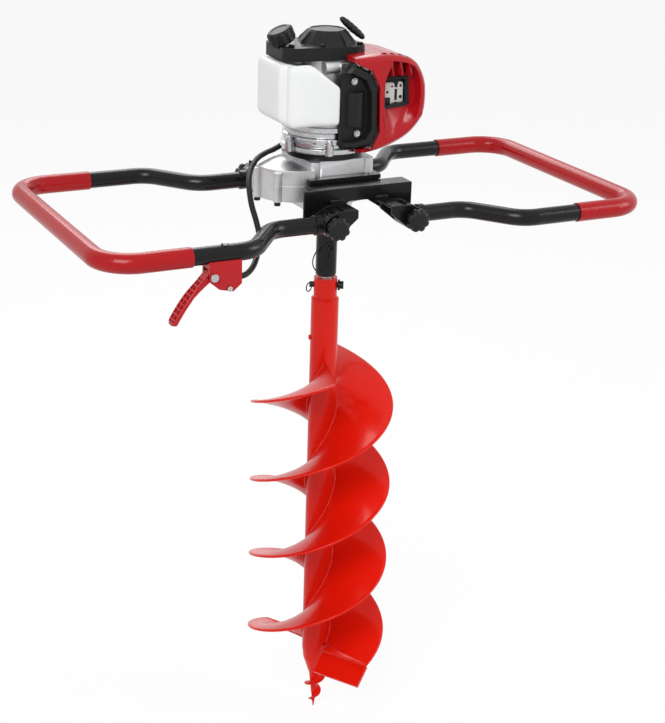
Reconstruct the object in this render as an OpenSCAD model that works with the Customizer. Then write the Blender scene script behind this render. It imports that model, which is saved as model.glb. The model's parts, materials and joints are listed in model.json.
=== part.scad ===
// Two-handed earth auger: an engine over a two-stage gearbox drives a double-start bit.
// Millimetres. The origin is the tip of the pilot screw and the drive axis is Z.

/* [Auger bit] */
// Outer diameter of the flights
flight_d = 200; // [120:1:230]
// Rise of a flight in one turn
flight_lead = 237; // [160:1:320]
// Height that each flight covers along the tube
flight_len = 448; // [300:1:500]
// Thickness of the flight plate
flight_t = 4; // [2.5:0.5:6]
// Outer diameter of the bit tube
bit_tube_d = 38; // [36:1:50]
// Wall of the bit tube
bit_tube_wall = 4; // [2.5:0.5:5]
// Length of the bit tube below its neck
bit_tube_len = 548; // [530:1:700]
// Length of the pilot screw below the tube
pilot_len = 104; // [80:1:140]
// Outer diameter of the neck that takes the output shaft
neck_d = 32; // [30:0.5:35]
// Length of the neck
neck_len = 27; // [22:1:40]
// Width of a cutter blade from root to edge
blade_w = 33; // [20:1:40]
// Thickness of a cutter blade
blade_t = 5; // [3:0.5:8]
// Angle of the locking pin about the drive axis
bit_angle = -27; // [-90:1:90]

/* [Drive] */
// Diameter of the output shaft
shaft_d = 20; // [16:1:22]
// Outer diameter of the drive sleeve above the neck
sleeve_d = 28.5; // [26:0.5:32]
// Length of the drive sleeve
sleeve_len = 72; // [50:1:100]
// Diameter of the locking pin
pin_d = 8; // [5:0.5:10]

/* [Gearbox] */
// Teeth of the input pinion
input_teeth = 12; // [11:1:13]
// Teeth of the layshaft gear
lay_gear_teeth = 59; // [56:1:61]
// Teeth of the layshaft pinion
lay_pinion_teeth = 10; // [10:1:11]
// Teeth of the output gear
output_teeth = 60; // [58:1:61]
// Face width of the first stage
stage1_face = 9; // [6:0.5:12]
// Face width of the second stage
stage2_face = 10; // [8:0.5:14]
// Wall of the gear case
case_wall = 3.5; // [2.5:0.5:5]
// Length of the conical output boss
boss_len = 38; // [36:1:60]
// Height of the rectangular block on the case cover
block_h = 20; // [18:1:30]
// Half width of the rectangular block
block_half = 46.5; // [45:0.5:50]

/* [Frame] */
// Length of the front and rear beams
beam_len = 156; // [150:1:200]
// Distance between the outer faces of the beams
beam_span = 176; // [170:1:200]
// Width of a beam's top flange
beam_flange = 28; // [20:1:30]
// Plate thickness of beams and brackets
plate_t = 4; // [3:0.5:5]
// Height of a beam
beam_h = 36; // [32:1:50]
// Thickness of the base plate
base_t = 14; // [12:1:20]

/* [Handles] */
// Outer diameter of the handle tube
tube_d = 22; // [19:0.5:25]
// Wall of the handle tube
tube_wall = 2; // [1.5:0.5:3]
// Wall of the red grip
grip_wall = 1.5; // [1:0.25:3]
// Distance from the drive axis to the outer bar's centre
handle_reach = 377; // [340:1:450]
// Half distance between the grip arms' centres
handle_half_w = 186; // [170:1:220]
// Half distance between the pivot lugs' centres
pivot_half_w = 118; // [114:1:130]
// Distance from the drive axis to the pivots
pivot_x = 57; // [54:1:66]
// Bend radius at the handle corners
corner_r = 45; // [35:1:60]
// Bend radius of the S bends
s_bend_r = 38; // [30:1:45]
// Gap along the arm between the throttle pivot and the end of the red grip
grip_gap = 25; // [15:1:40]
// Diameter of the pivot bolts
bolt_d = 8; // [6:0.5:10]
// Diameter of the hand knobs over their lobes
knob_d = 31; // [28:1:36]

/* [Throttle] */
// Distance of the throttle pivot from the drive axis
throttle_x = 247; // [235:1:250]
// Length of the throttle lever
lever_len = 76; // [50:1:90]
// Width of the throttle housing across the bar
throttle_w = 22; // [18:1:26]
// Outer diameter of the cable sheath
cable_d = 7.5; // [6:0.5:10]

/* [Engine] */
// Radius of the clutch housing
clutch_r = 55; // [54:0.5:60]
// Height of the clutch housing
clutch_h = 36; // [34:1:44]
// Radius of the crankcase
crankcase_r = 40; // [38:0.5:42]
// Height of the crankcase
crankcase_h = 85; // [80:1:95]
// Bore of the cylinder
cylinder_bore = 39; // [34:0.5:42]
// Depth of the tank from front to rear
tank_depth = 85; // [80:1:100]
// Wall of the tank
tank_wall = 2; // [1.5:0.25:3]
// Diameter of the fuel cap
cap_d = 35; // [30:0.5:40]
// Wall of the red cover
cover_wall = 3; // [2:0.25:4]
// Height of the recoil starter's plate
recoil_plate_h = 17; // [14:1:22]
// Height of the recoil starter's dome
recoil_dome_h = 17; // [14:1:24]
// Length of the starter grip
starter_grip_len = 42; // [30:1:46]

/* [Hidden] */
$fn = 48;
EPS = 0.01;
// clearances: parts that touch within one body, running fits, free parts
seat = 0.05;
running = 0.06;
free_gap = 0.5;

red = "#c4161c";
black = "#232427";
silver = "#c8cbd0";
white = "#eef0f0";
steel = "#8d9196";

// heights from the pilot tip upwards
tube_z0 = pilot_len;
tube_z1 = tube_z0 + bit_tube_len;
neck_z1 = tube_z1 + neck_len;
sleeve_z0 = neck_z1 + 3;
sleeve_z1 = sleeve_z0 + sleeve_len;
boss_z0 = sleeve_z1 + 4;
case_floor_z = boss_z0 + boss_len;
pin_z = neck_z1 - 11;
flight_z0 = tube_z0 + 6.5;
shaft_end_z = neck_z1 - 43;

// bearings are given as [bore, outside diameter, width]
bearing_out = [shaft_d, shaft_d + 22, 12];
bearing_lay = [8, 22, 6];
bearing_in = [10, 26, 6];
bearing_crank = [12, 28, 8];

// gear train: the two centre distances put the engine's axis to the left of the output shaft
stage1_module = 1.25;
stage2_module = 1.5;
engine_dist = stage1_module * (input_teeth + lay_gear_teeth) / 2;
gear_dist = stage2_module * (lay_pinion_teeth + output_teeth) / 2;
engine_x = engine_dist - gear_dist;
addendum = 0.9;
dedendum = 1.2;
lay_gear_r = stage1_module * (lay_gear_teeth / 2 + addendum);
output_gear_r = stage2_module * (output_teeth / 2 + addendum);
gear_clear = 0.8;
lay_case_r = gear_dist - 2;
out_case_r = output_gear_r + gear_clear + case_wall;

// gear stack
floor_t = 2.5;
out_floor_z = case_floor_z + bearing_out[2] + 2;
stage2_z = out_floor_z + 2;
lay_floor_z = stage2_z - bearing_lay[2] - 1 - floor_t;
seam_z = stage2_z + stage2_face + 2;
stage1_z = seam_z + 1.5;
lay_top_bearing_z = stage1_z + stage1_face + 1;
cover_top_z = lay_top_bearing_z + bearing_lay[2] + floor_t;
pinion_room_z = stage1_z + stage1_face + 1;
in_bearing_z = pinion_room_z + 4;

// frame levels
base_z0 = seam_z - 4.5;
base_z1 = base_z0 + base_t;
block_z1 = max(base_z1 + block_h, in_bearing_z + 2 * bearing_in[2] + 0.5);
beam_z1 = base_z0 + 8;
beam_z0 = beam_z1 - beam_h;
base_half_y = beam_span / 2 - beam_flange;
handle_z = base_z0 - 27;

// engine levels
adapter_h = 8;
clutch_z0 = block_z1 + adapter_h;
clutch_z1 = clutch_z0 + clutch_h;
drum_z0 = clutch_z0 + 4;
drum_h = clutch_h - 18;
flywheel_z0 = drum_z0 + drum_h + 2;
flywheel_h = 10;
recoil_z0 = clutch_z1 + crankcase_h;
recoil_z1 = recoil_z0 + recoil_plate_h;
recoil_z2 = recoil_z1 + recoil_dome_h;
cyl_z = clutch_z1 + 34;
tank_front = 64;

// helpers

// places a piece on the engine's axis
module on_engine() {
    translate([engine_x, 0, 0]) children();
}

// straight round bar along Y, from y0 to y1
module bar_y(y0, y1, d) {
    translate([0, min(y0, y1), 0])
        rotate([-90, 0, 0])
            cylinder(h = abs(y1 - y0), d = d);
}

// straight round bar along X, from x0 to x1
module bar_x(x0, x1, d) {
    translate([min(x0, x1), 0, 0])
        rotate([0, 90, 0])
            cylinder(h = abs(x1 - x0), d = d);
}

// round bar along Z, from z0 to z1
module bar_z(z0, z1, d) {
    translate([0, 0, z0])
        cylinder(h = z1 - z0, d = d);
}

// flat ring along Z
module ring_z(z0, z1, d, bore) {
    difference() {
        bar_z(z0, z1, d);
        bar_z(z0 - 1, z1 + 1, bore);
    }
}

// ball bearing drawn as its two races and the shielded ball row
module bearing(b, z0) {
    race = (b[1] - b[0]) / 5;
    ring_z(z0, z0 + b[2], b[0] + 2 * race, b[0] + 2 * seat);
    ring_z(z0 + b[2] * 0.1, z0 + b[2] * 0.9, b[1] - 2 * race + EPS, b[0] + 2 * race - EPS);
    ring_z(z0, z0 + b[2], b[1] - 2 * seat, b[1] - 2 * race);
}

// upright slab with rounded vertical edges
module slab(x0, x1, y0, y1, z0, z1, r) {
    translate([0, 0, z0])
        linear_extrude(z1 - z0) {
            translate([x0 + r, y0]) square([x1 - x0 - 2 * r, y1 - y0]);
            translate([x0, y0 + r]) square([x1 - x0, y1 - y0 - 2 * r]);
            for (x = [x0 + r, x1 - r], y = [y0 + r, y1 - r])
                translate([x, y]) circle(r);
        }
}

// outline in X and Z carried along Y
module panel(y0, y1) {
    translate([0, y1, 0])
        rotate([90, 0, 0])
            linear_extrude(y1 - y0)
                children();
}

// copies at the four corners of the frame, mirrored so that the near right one is the original
module four_corners() {
    for (mx = [0, 1], my = [0, 1])
        mirror([mx, 0, 0]) mirror([0, my, 0]) children();
}

// closed solid through a list of rings that have the same number of points
module skin(rings) {
    n = len(rings[0]);
    last = len(rings) - 1;
    points = [for (r = rings, p = r) p];
    sides = [for (i = [0:last - 1], j = [0:n - 1], half = [0, 1])
        let (k = (j + 1) % n, a = i * n, b = a + n)
        half == 0 ? [a + j, b + j, b + k] : [a + j, b + k, a + k]];
    start = [for (j = [1:n - 2]) [0, j, j + 1]];
    end = [for (j = [1:n - 2]) [last * n, last * n + j + 1, last * n + j]];
    polyhedron(points, concat(sides, start, end));
}

// closed outline with its corners cut, so that it reads as a curve
function cut_corners(p, times) =
    times == 0 ? p : cut_corners([for (i = [0:len(p) - 1], t = [0.25, 0.75])
        p[i] + t * (p[(i + 1) % len(p)] - p[i])], times - 1);

// smooth path through chosen points
function spline(p, i, t) =
    let (n = len(p) - 1,
         a = p[max(i - 1, 0)], b = p[i], c = p[min(i + 1, n)], d = p[min(i + 2, n)])
    0.5 * (2 * b + (c - a) * t + (2 * a - 5 * b + 4 * c - d) * t * t + (3 * b - a - 3 * c + d) * t * t * t);
function route(p, steps) =
    concat([for (i = [0:len(p) - 2], k = [0:steps - 1]) spline(p, i, k / steps)], [p[len(p) - 1]]);
function unit(v) = v / norm(v);
function turn_frame(u, t) = unit(u - (u * t) * t);

// carries the ring's first side along the path without letting it twist
function side_vectors(t, u, i = 0) =
    i == len(t) ? [] : let (v = turn_frame(u, t[i])) concat([v], side_vectors(t, v, i + 1));

// round cord of diameter d along a list of points
module cord(p, d, sides) {
    n = len(p) - 1;
    t = [for (i = [0:n]) unit(p[min(i + 1, n)] - p[max(i - 1, 0)])];
    u = side_vectors(t, abs(t[0][2]) < 0.8 ? [0, 0, 1] : [1, 0, 0]);
    skin([for (i = [0:n])
        [for (k = [0:sides - 1])
            let (a = -360 * k / sides)
            p[i] + d / 2 * (cos(a) * u[i] + sin(a) * cross(t[i], u[i]))]]);
}

// involute-like spur gear with straight flanks and working backlash
module gear_shape(m, teeth) {
    pitch = 360 / teeth;
    r = m * teeth / 2;
    root = r - dedendum * m;
    tip = r + addendum * m;
    flank = [[root, 0.29], [r, 0.20], [tip, 0.105]];
    polygon([for (i = [0:teeth - 1], s = [-1, 1], k = [0:2])
        let (f = flank[s < 0 ? k : 2 - k], a = pitch * (i + s * f[1]))
        f[0] * [cos(a), sin(a)]]);
}

module gear(m, teeth, z0, face, bore) {
    translate([0, 0, z0])
        difference() {
            linear_extrude(face) gear_shape(m, teeth);
            translate([0, 0, -1]) cylinder(h = face + 2, d = bore);
        }
}

// Auger bit

function polar(r, a, z) = [r * cos(a), r * sin(a), z];

// one helical flight, rising as it turns to the left
module flight(start_angle) {
    turns = flight_len / flight_lead;
    n = ceil(turns * 44);
    r0 = bit_tube_d / 2 + seat;
    r1 = flight_d / 2;
    skin([for (i = [0:n])
        let (a = start_angle + 360 * turns * i / n, z = flight_z0 + flight_len * i / n)
        [polar(r0, a, z - flight_t / 2), polar(r0, a, z + flight_t / 2),
         polar(r1, a, z + flight_t / 2), polar(r1, a, z - flight_t / 2)]]);
}

flight_start = bit_angle - 40;

module bit_flight_a() {
    color(red) flight(flight_start + 180);
}

module bit_flight_b() {
    color(red) flight(flight_start);
}

pin_hole_d = pin_d + 0.15;

module bit_tube() {
    color(red)
        difference() {
            union() {
                bar_z(tube_z0, tube_z1 - 3, bit_tube_d);
                translate([0, 0, tube_z1 - 3])
                    cylinder(h = 3, d1 = bit_tube_d, d2 = neck_d);
                bar_z(tube_z1, neck_z1, neck_d);
                // plug weld that holds the inner socket
                rotate(bit_angle + 190)
                    translate([0, 0, tube_z1 - 60]) bar_x(bit_tube_d / 2 - 2, bit_tube_d / 2 + 2.5, 7);
            }
            bar_z(tube_z0 - 1, shaft_end_z - 12, bit_tube_d - 2 * bit_tube_wall);
            bar_z(shaft_end_z - 1, neck_z1 + 1, shaft_d + 2 * seat);
            rotate(bit_angle)
                translate([0, 0, pin_z]) bar_x(-neck_d, neck_d, pin_hole_d);
        }
}

blade_slope = 38;
blade_in_r = bit_tube_d / 2 + 6;

module cutter_blades() {
    blade_len = flight_d / 2 - blade_in_r - 1;
    color(red) {
        for (side = [0, 180])
            rotate(flight_start + side)
                translate([flight_d / 2 - 1, 0, flight_z0 - flight_t / 2 - seat])
                    rotate(9) {
                        rotate([blade_slope, 0, 0])
                            translate([-blade_len, -blade_w, -blade_t])
                                difference() {
                                    cube([blade_len, blade_w, blade_t]);
                                    // ground cutting edge
                                    translate([-1, 0, 0])
                                        rotate([-25, 0, 0])
                                            translate([0, -blade_w, -2 * blade_t])
                                                cube([blade_len + 2, blade_w, 2 * blade_t]);
                                }
                    }
        // gussets that close the corner between each blade and the end of its flight
        for (side = [0, 180])
            rotate(flight_start + side)
                translate([flight_d / 2 - 1, 0, flight_z0 - flight_t / 2 - seat - 2])
                    linear_extrude(flight_t + 2)
                        polygon([[-1, -seat], [-blade_len, -seat], [-blade_len * cos(9), -blade_len * sin(9) - 1],
                            [-1, -1.2]]);
    }
}

module pilot_screw() {
    h = pilot_len;
    thread_turns = 1.9;
    rings = 44;
    color(red) {
        rotate_extrude()
            polygon([[0, 0], [0.8, 0], [4, h * 0.25], [7.5, h * 0.55], [17, h * 0.83],
                [bit_tube_d / 2, h], [0, h]]);
        skin([for (i = [0:rings])
            let (s = i / rings, a = bit_angle + 130 + 360 * thread_turns * s, z = h * (0.08 + 0.5 * s),
                 r = 7 + 12 * s, core = 0.6 + 5 * s)
            [polar(core, a, z - 2 - 2 * s), polar(core, a, z + 2 + 2 * s), polar(r, a, z + 0.8),
             polar(r, a, z - 0.8)]]);
    }
}

// Drive

module output_shaft() {
    color(steel)
        difference() {
            bar_z(shaft_end_z, stage2_z + stage2_face + 1, shaft_d);
            rotate(bit_angle)
                translate([0, 0, pin_z]) bar_x(-shaft_d, shaft_d, pin_hole_d);
        }
}

module output_gear() {
    color(steel)
        rotate(180) gear(stage2_module, output_teeth, stage2_z, stage2_face, shaft_d + 2 * seat);
}

module drive_sleeve() {
    r = sleeve_d / 2;
    edge = 4;
    color(black)
        difference() {
            translate([0, 0, sleeve_z0])
                rotate_extrude() {
                    translate([0, edge]) square([r, sleeve_len - edge]);
                    square([r - edge, edge]);
                    translate([r - edge, edge]) circle(edge);
                }
            bar_z(sleeve_z0 - 1, sleeve_z1 + 1, shaft_d + 2 * seat);
        }
}

// pin across neck and shaft, with its pull head on the right
module locking_pin() {
    head_x = neck_d / 2 + 0.6;
    color(black)
        rotate(bit_angle)
            translate([0, 0, pin_z]) {
                bar_x(-neck_d / 2 - 6, head_x + 1, pin_d);
                bar_x(head_x, head_x + 3, pin_d + 7);
                bar_x(head_x + 3 - EPS, head_x + 8, pin_d + 3);
            }
}

// keeper wire: an eye on the sleeve and a loop that hangs beside it
lanyard_d = 2;
module pin_lanyard() {
    r = sleeve_d / 2 + lanyard_d / 2 + 0.15;
    z = sleeve_z0;
    a = bit_angle - 65;
    loop = [polar(r, a, z + 38), polar(r, a - 14, z + 26), polar(r + 0.5, a - 34, z + 14), polar(r + 2, a - 60, z + 8),
        polar(r + 5, a - 80, z + 14), polar(r + 5, a - 86, z + 24), polar(r + 3, a - 72, z + 36),
        polar(r + 0.5, a - 48, z + 45), polar(r, a - 24, z + 49), polar(r, a - 4, z + 46)];
    color(steel)
        cord(route(loop, 4), lanyard_d, 8);
}

// Gearbox

boss_angles = [138, 180, 222];
case_screw_r = lay_case_r + 1;

module case_bosses(z0, z1) {
    translate([-gear_dist, 0, 0])
        for (a = boss_angles)
            rotate(a) translate([case_screw_r, 0, 0]) bar_z(z0, z1, 11);
}

module case_screw_holes(z0, z1, d) {
    translate([-gear_dist, 0, 0])
        for (a = boss_angles)
            rotate(a) translate([case_screw_r, 0, 0]) bar_z(z0, z1, d);
}

module gear_case() {
    color(silver)
        difference() {
            union() {
                bar_z(case_floor_z, seam_z, 2 * out_case_r);
                translate([-gear_dist, 0, 0]) bar_z(lay_floor_z, seam_z, 2 * lay_case_r);
                case_bosses(lay_floor_z, seam_z);
                // conical output boss
                translate([0, 0, boss_z0])
                    cylinder(h = boss_len, r1 = bearing_out[1] / 2 + 4, r2 = bearing_out[1] / 2 + 15);
                // sloping web under the layshaft side
                panel(-24, 24)
                    polygon([[-gear_dist - 24, lay_floor_z + 1], [-24, boss_z0 + 12], [-24, lay_floor_z + 1]]);
            }
            bar_z(boss_z0 - 1, out_floor_z + 1, bearing_out[1]);
            bar_z(out_floor_z, seam_z + 1, 2 * (output_gear_r + gear_clear));
            translate([-gear_dist, 0, 0]) {
                bar_z(lay_floor_z + floor_t, seam_z + 1, bearing_lay[1]);
                bar_z(lay_floor_z + floor_t + bearing_lay[2], seam_z + 1, 2 * (lay_case_r - case_wall));
            }
            case_screw_holes(lay_floor_z - 1, seam_z + 1, 5.4);
        }
}

neck_bore_d = 2 * stage1_module * (input_teeth / 2 + 2);
neck_r = neck_bore_d / 2 + case_wall;
block_x = engine_x + 4;

module gear_case_cover() {
    color(silver)
        difference() {
            union() {
                translate([-gear_dist, 0, 0]) bar_z(seam_z, cover_top_z, 2 * lay_case_r);
                case_bosses(seam_z, cover_top_z - 3);
                translate([engine_x, 0, 0]) bar_z(seam_z, base_z1 + 1, 2 * neck_r);
                slab(block_x - block_half, block_x + block_half, -block_half, block_half, base_z1, block_z1, 7);
                for (x = [-1, 1])
                    translate([block_x + x * (block_half - 8), -block_half + 3.5, 0])
                        bar_z(base_z1, block_z1, 15);
            }
            translate([-gear_dist, 0, 0]) {
                bar_z(seam_z - 1, pinion_room_z, 2 * (lay_case_r - case_wall));
                bar_z(pinion_room_z - 1, cover_top_z - floor_t, bearing_lay[1]);
            }
            translate([engine_x, 0, 0]) {
                bar_z(seam_z - 1, pinion_room_z, neck_bore_d);
                bar_z(pinion_room_z - 1, in_bearing_z + 1, bearing_in[0] + 4);
                bar_z(in_bearing_z, block_z1 + 1, bearing_in[1]);
            }
            case_screw_holes(seam_z - 1, cover_top_z - 8, 5);
            frame_bolt_holes(base_z1 - 1, base_z1 + 13, 6);
        }
}

module case_screws() {
    color(black)
        translate([-gear_dist, 0, 0])
            for (a = boss_angles)
                rotate(a)
                    translate([case_screw_r, 0, 0]) {
                        bar_z(lay_floor_z - 5, lay_floor_z, 8.5);
                        bar_z(lay_floor_z - EPS, cover_top_z - 9, 5 - 2 * seat);
                    }
}

module gearbox_bearings() {
    color(steel) {
        bearing(bearing_out, boss_z0 + 9);
        bearing(bearing_out, out_floor_z - bearing_out[2]);
        translate([-gear_dist, 0, 0]) {
            bearing(bearing_lay, lay_floor_z + floor_t);
            bearing(bearing_lay, lay_top_bearing_z);
        }
        translate([engine_x, 0, 0]) {
            bearing(bearing_in, in_bearing_z);
            bearing(bearing_in, in_bearing_z + bearing_in[2] + 0.3);
        }
    }
}

module output_seal() {
    color(black)
        ring_z(boss_z0 + 1, boss_z0 + 8, bearing_out[1] - 2 * seat, shaft_d + 2 * running);
}

module layshaft() {
    z0 = lay_floor_z + floor_t;
    color(steel)
        translate([-gear_dist, 0, 0]) {
            bar_z(z0 + 0.5, lay_top_bearing_z + bearing_lay[2] - 0.5, bearing_lay[0]);
            translate([0, 0, stage2_z - 0.5])
                rotate(180 / lay_pinion_teeth)
                    linear_extrude(stage2_face + 1) gear_shape(stage2_module, lay_pinion_teeth);
        }
}

module layshaft_gear() {
    color(steel)
        translate([-gear_dist, 0, 0])
            gear(stage1_module, lay_gear_teeth, stage1_z, stage1_face, bearing_lay[0] + 2 * seat);
}

// the pinion is turned so that one of its gaps faces the layshaft
module input_pinion() {
    color(steel)
        translate([engine_x, 0, 0]) {
            translate([0, 0, stage1_z - 0.5])
                rotate(180 + 180 / input_teeth)
                    linear_extrude(stage1_face + 1) gear_shape(stage1_module, input_teeth);
            bar_z(stage1_z, drum_z0 + 9, bearing_in[0]);
        }
}

// Frame

base_x0 = block_x - block_half - 6.5;
base_x1 = block_x + block_half + 4.5;
frame_bolt_x = [6, block_x + block_half - 9];
frame_bolt_y = block_half - 8;

module frame_bolt_holes(z0, z1, d) {
    for (x = frame_bolt_x, y = [-1, 1])
        translate([x, y * frame_bolt_y, 0]) bar_z(z0, z1, d);
}

// a groove runs round the plate's edge
module base_plate() {
    mid = base_z0 + base_t * 0.45;
    color(black)
        difference() {
            union() {
                slab(base_x0, base_x1, -base_half_y, base_half_y, base_z0, mid, 2);
                slab(base_x0 + 2, base_x1 - 2, -base_half_y + 2, base_half_y - 2, mid - EPS, mid + 2, 2);
                slab(base_x0, base_x1, -base_half_y, base_half_y, mid + 2 - EPS, base_z1, 2);
            }
            bar_z(base_z0 - 1, seam_z + free_gap, 2 * (out_case_r + free_gap));
            translate([engine_x, 0, 0]) bar_z(base_z0 - 1, base_z1 + 1, 2 * neck_r + 1);
            translate([-gear_dist, 0, 0]) bar_z(base_z0 - 1, base_z1 + 1, 2 * (lay_case_r + free_gap));
            frame_bolt_holes(base_z0 - 1, base_z1 + 1, 6.6);
        }
}

module frame_bolts() {
    color(steel)
        for (x = frame_bolt_x, y = [-1, 1])
            translate([x, y * frame_bolt_y, 0])
                bar_z(seam_z + free_gap + 0.2, base_z1 + 11, 6 - 2 * seat);
}

arch_top = 13;
arch_foot = 38;
flange_x0 = 62;

// the near beam: a front plate with an arch between its legs, and a top flange
module beam() {
    half = beam_len / 2;
    y0 = -beam_span / 2;
    panel(y0, y0 + plate_t)
        difference() {
            translate([-half, beam_z0]) square([2 * half, beam_h]);
            polygon([[-arch_foot, beam_z0 - 1], [-arch_foot, beam_z0 + 2], [-arch_top, beam_z0 + 18],
                [arch_top, beam_z0 + 18], [arch_foot, beam_z0 + 2], [arch_foot, beam_z0 - 1]]);
        }
    translate([-flange_x0, y0, beam_z1 - plate_t]) cube([half + flange_x0, beam_flange - seat, plate_t]);
    // end gussets
    for (x = [-flange_x0, half - plate_t])
        translate([x, y0, beam_z1 - beam_h * 0.5]) cube([plate_t, beam_flange - 8, beam_h * 0.5]);
}

module frame_front_beam() {
    color(black) beam();
}

module frame_rear_beam() {
    color(black) mirror([0, 1, 0]) beam();
}

// clamp bracket sizes, drawn at the near right corner
lug_d = 30;
lug_w = 26;
cheek_in = pivot_half_w - lug_w / 2 - 0.4;
cheek_out = pivot_half_w + lug_w / 2 + 0.4;
bracket_x0 = pivot_x - 33;
bracket_arm_x1 = pivot_x - tube_d / 2 - 4;
pivot_hole_d = bolt_d + 0.16;

module bracket() {
    top = handle_z + 19;
    difference() {
        union() {
            for (y = [-cheek_in, -cheek_out - plate_t])
                panel(y, y + plate_t) {
                    polygon([[bracket_x0, top], [pivot_x - 4, top], [pivot_x + 10, handle_z + 11],
                        [pivot_x - 10, handle_z - 11], [bracket_x0, handle_z + 8]]);
                    translate([pivot_x, handle_z]) circle(15);
                }
            // arm that is welded to the beam's leg and carries both cheeks
            translate([bracket_x0, -cheek_out - plate_t, top - plate_t])
                cube([bracket_arm_x1 - bracket_x0, cheek_out + plate_t - beam_span / 2 - seat, plate_t]);
        }
        translate([pivot_x, 0, handle_z])
            bar_y(-cheek_out - plate_t - 1, -cheek_in + plate_t + 1, pivot_hole_d);
    }
}

module clamp_brackets() {
    color(black) four_corners() bracket();
}

knob_y = cheek_out + plate_t + 0.4;
knob_h = 16;

module pivot_bolts() {
    head_y = -cheek_in + plate_t;
    color(steel)
        four_corners()
            translate([pivot_x, 0, handle_z]) {
                bar_y(-knob_y - knob_h + 3, head_y + EPS, bolt_d);
                bar_y(head_y, head_y + 4.5, bolt_d * 1.9);
            }
}

// lobed hand knob, with its threaded bore
module knob() {
    lobe_r = knob_d * 0.14;
    color(black)
        translate([pivot_x, -knob_y, handle_z])
            rotate([90, 0, 0])
                difference() {
                    union() {
                        cylinder(h = 4 + EPS, d = knob_d * 0.6);
                        translate([0, 0, 4])
                            linear_extrude(knob_h - 4) {
                                circle(d = knob_d - 2.4 * lobe_r);
                                for (k = [0:7])
                                    rotate(45 * k + 22.5) translate([knob_d / 2 - lobe_r, 0]) circle(lobe_r);
                            }
                    }
                    translate([0, 0, -1]) cylinder(h = knob_h - 1, d = bolt_d + 2 * running);
                }
}

module knob_right_front() {
    knob();
}

module knob_right_rear() {
    mirror([0, 1, 0]) knob();
}

module knob_left_front() {
    mirror([1, 0, 0]) knob();
}

module knob_left_rear() {
    mirror([1, 0, 0]) mirror([0, 1, 0]) knob();
}

// Handles

// quarter or smaller bend of hollow tube: it starts at the origin along X and turns to the left
module tube_bend(turn, r, od, id) {
    reach = 3 * r;
    translate([0, r, 0])
        intersection() {
            rotate_extrude()
                translate([r, 0]) difference() {
                    circle(d = od);
                    circle(d = id);
                }
            translate([0, 0, -od])
                linear_extrude(2 * od)
                    polygon([[0, 0], [0, -reach], [reach * sin(turn), -reach * cos(turn)]]);
        }
}

// hollow tube that runs along X and turns in the XY plane: each step is [length, turn, bend radius]
module tube_run(steps, od, id, i = 0) {
    if (i < len(steps)) {
        len_i = steps[i][0];
        turn = steps[i][1];
        r = steps[i][2];
        side = turn < 0 ? -1 : 1;
        rotate([0, 90, 0])
            difference() {
                cylinder(h = len_i, d = od);
                translate([0, 0, -1]) cylinder(h = len_i + 2, d = id);
            }
        translate([len_i, 0, 0]) {
            if (turn != 0)
                mirror([0, turn < 0 ? 1 : 0, 0]) tube_bend(abs(turn), r, od, id);
            translate([r * sin(abs(turn)), side * r * (1 - cos(turn)), 0])
                rotate(turn) tube_run(steps, od, id, i + 1);
        }
    }
}

// S bend: two equal turns and the straight between them that gives the wanted sideways step
s_step = handle_half_w - pivot_half_w;
// each bend turns through the acute angle of a 3-4-5 triangle
s_bend_angle = atan2(4, 3);
s_straight = (s_step - 2 * s_bend_r * (1 - cos(s_bend_angle))) / sin(s_bend_angle);
s_run = 2 * s_bend_r * sin(s_bend_angle) + s_straight * cos(s_bend_angle);
lug_end = lug_d / 2 - 2;
lead_in = 63 - lug_end;
arm_len = handle_reach - corner_r - pivot_x - lug_end - lead_in - s_run;
bar_len = 2 * (handle_half_w - corner_r);
handle_steps = [
    [lead_in, -s_bend_angle, s_bend_r],
    [s_straight, s_bend_angle, s_bend_r],
    [arm_len, 90, corner_r],
    [bar_len, 90, corner_r],
    [arm_len, s_bend_angle, s_bend_r],
    [s_straight, -s_bend_angle, s_bend_r],
    [lead_in, 0, 0]];
grip_arm_len = handle_reach - throttle_x - grip_gap;
grip_straight = grip_arm_len - corner_r;
grip_steps = [[grip_straight, 90, corner_r], [bar_len, 90, corner_r], [grip_straight, 0, 0]];

module handle_tube() {
    difference() {
        union() {
            translate([pivot_x + lug_end, -pivot_half_w, handle_z])
                tube_run(handle_steps, tube_d, tube_d - 2 * tube_wall);
            for (y = [-1, 1]) {
                translate([pivot_x, y * pivot_half_w, handle_z]) {
                    bar_y(-lug_w / 2, lug_w / 2, lug_d);
                    bar_x(lug_end - 1, lug_end + 8, tube_d + 4);
                }
            }
        }
        for (y = [-1, 1])
            translate([pivot_x, y * pivot_half_w, handle_z])
                bar_y(-lug_w, lug_w, pivot_hole_d);
    }
}

module handle_grip() {
    translate([handle_reach - grip_arm_len, -handle_half_w, handle_z])
        tube_run(grip_steps, tube_d + 2 * grip_wall, tube_d + 2 * seat);
}

module right_handle_tube() {
    color(black) handle_tube();
}

module right_grip() {
    color(red) handle_grip();
}

module left_handle_tube() {
    color(black)
        difference() {
            mirror([1, 0, 0]) handle_tube();
            translate([lever_pivot[0] + 18, lever_pivot[1], 0])
                bar_z(handle_z - tube_d, handle_z + tube_d, 5);
        }
}

module left_grip() {
    color(red) mirror([1, 0, 0]) handle_grip();
}

// Throttle, under the left near bar

lever_pivot = [-throttle_x, -handle_half_w, handle_z - 25];
lever_pin_d = 6;
lever_w = throttle_w - 8;

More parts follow.
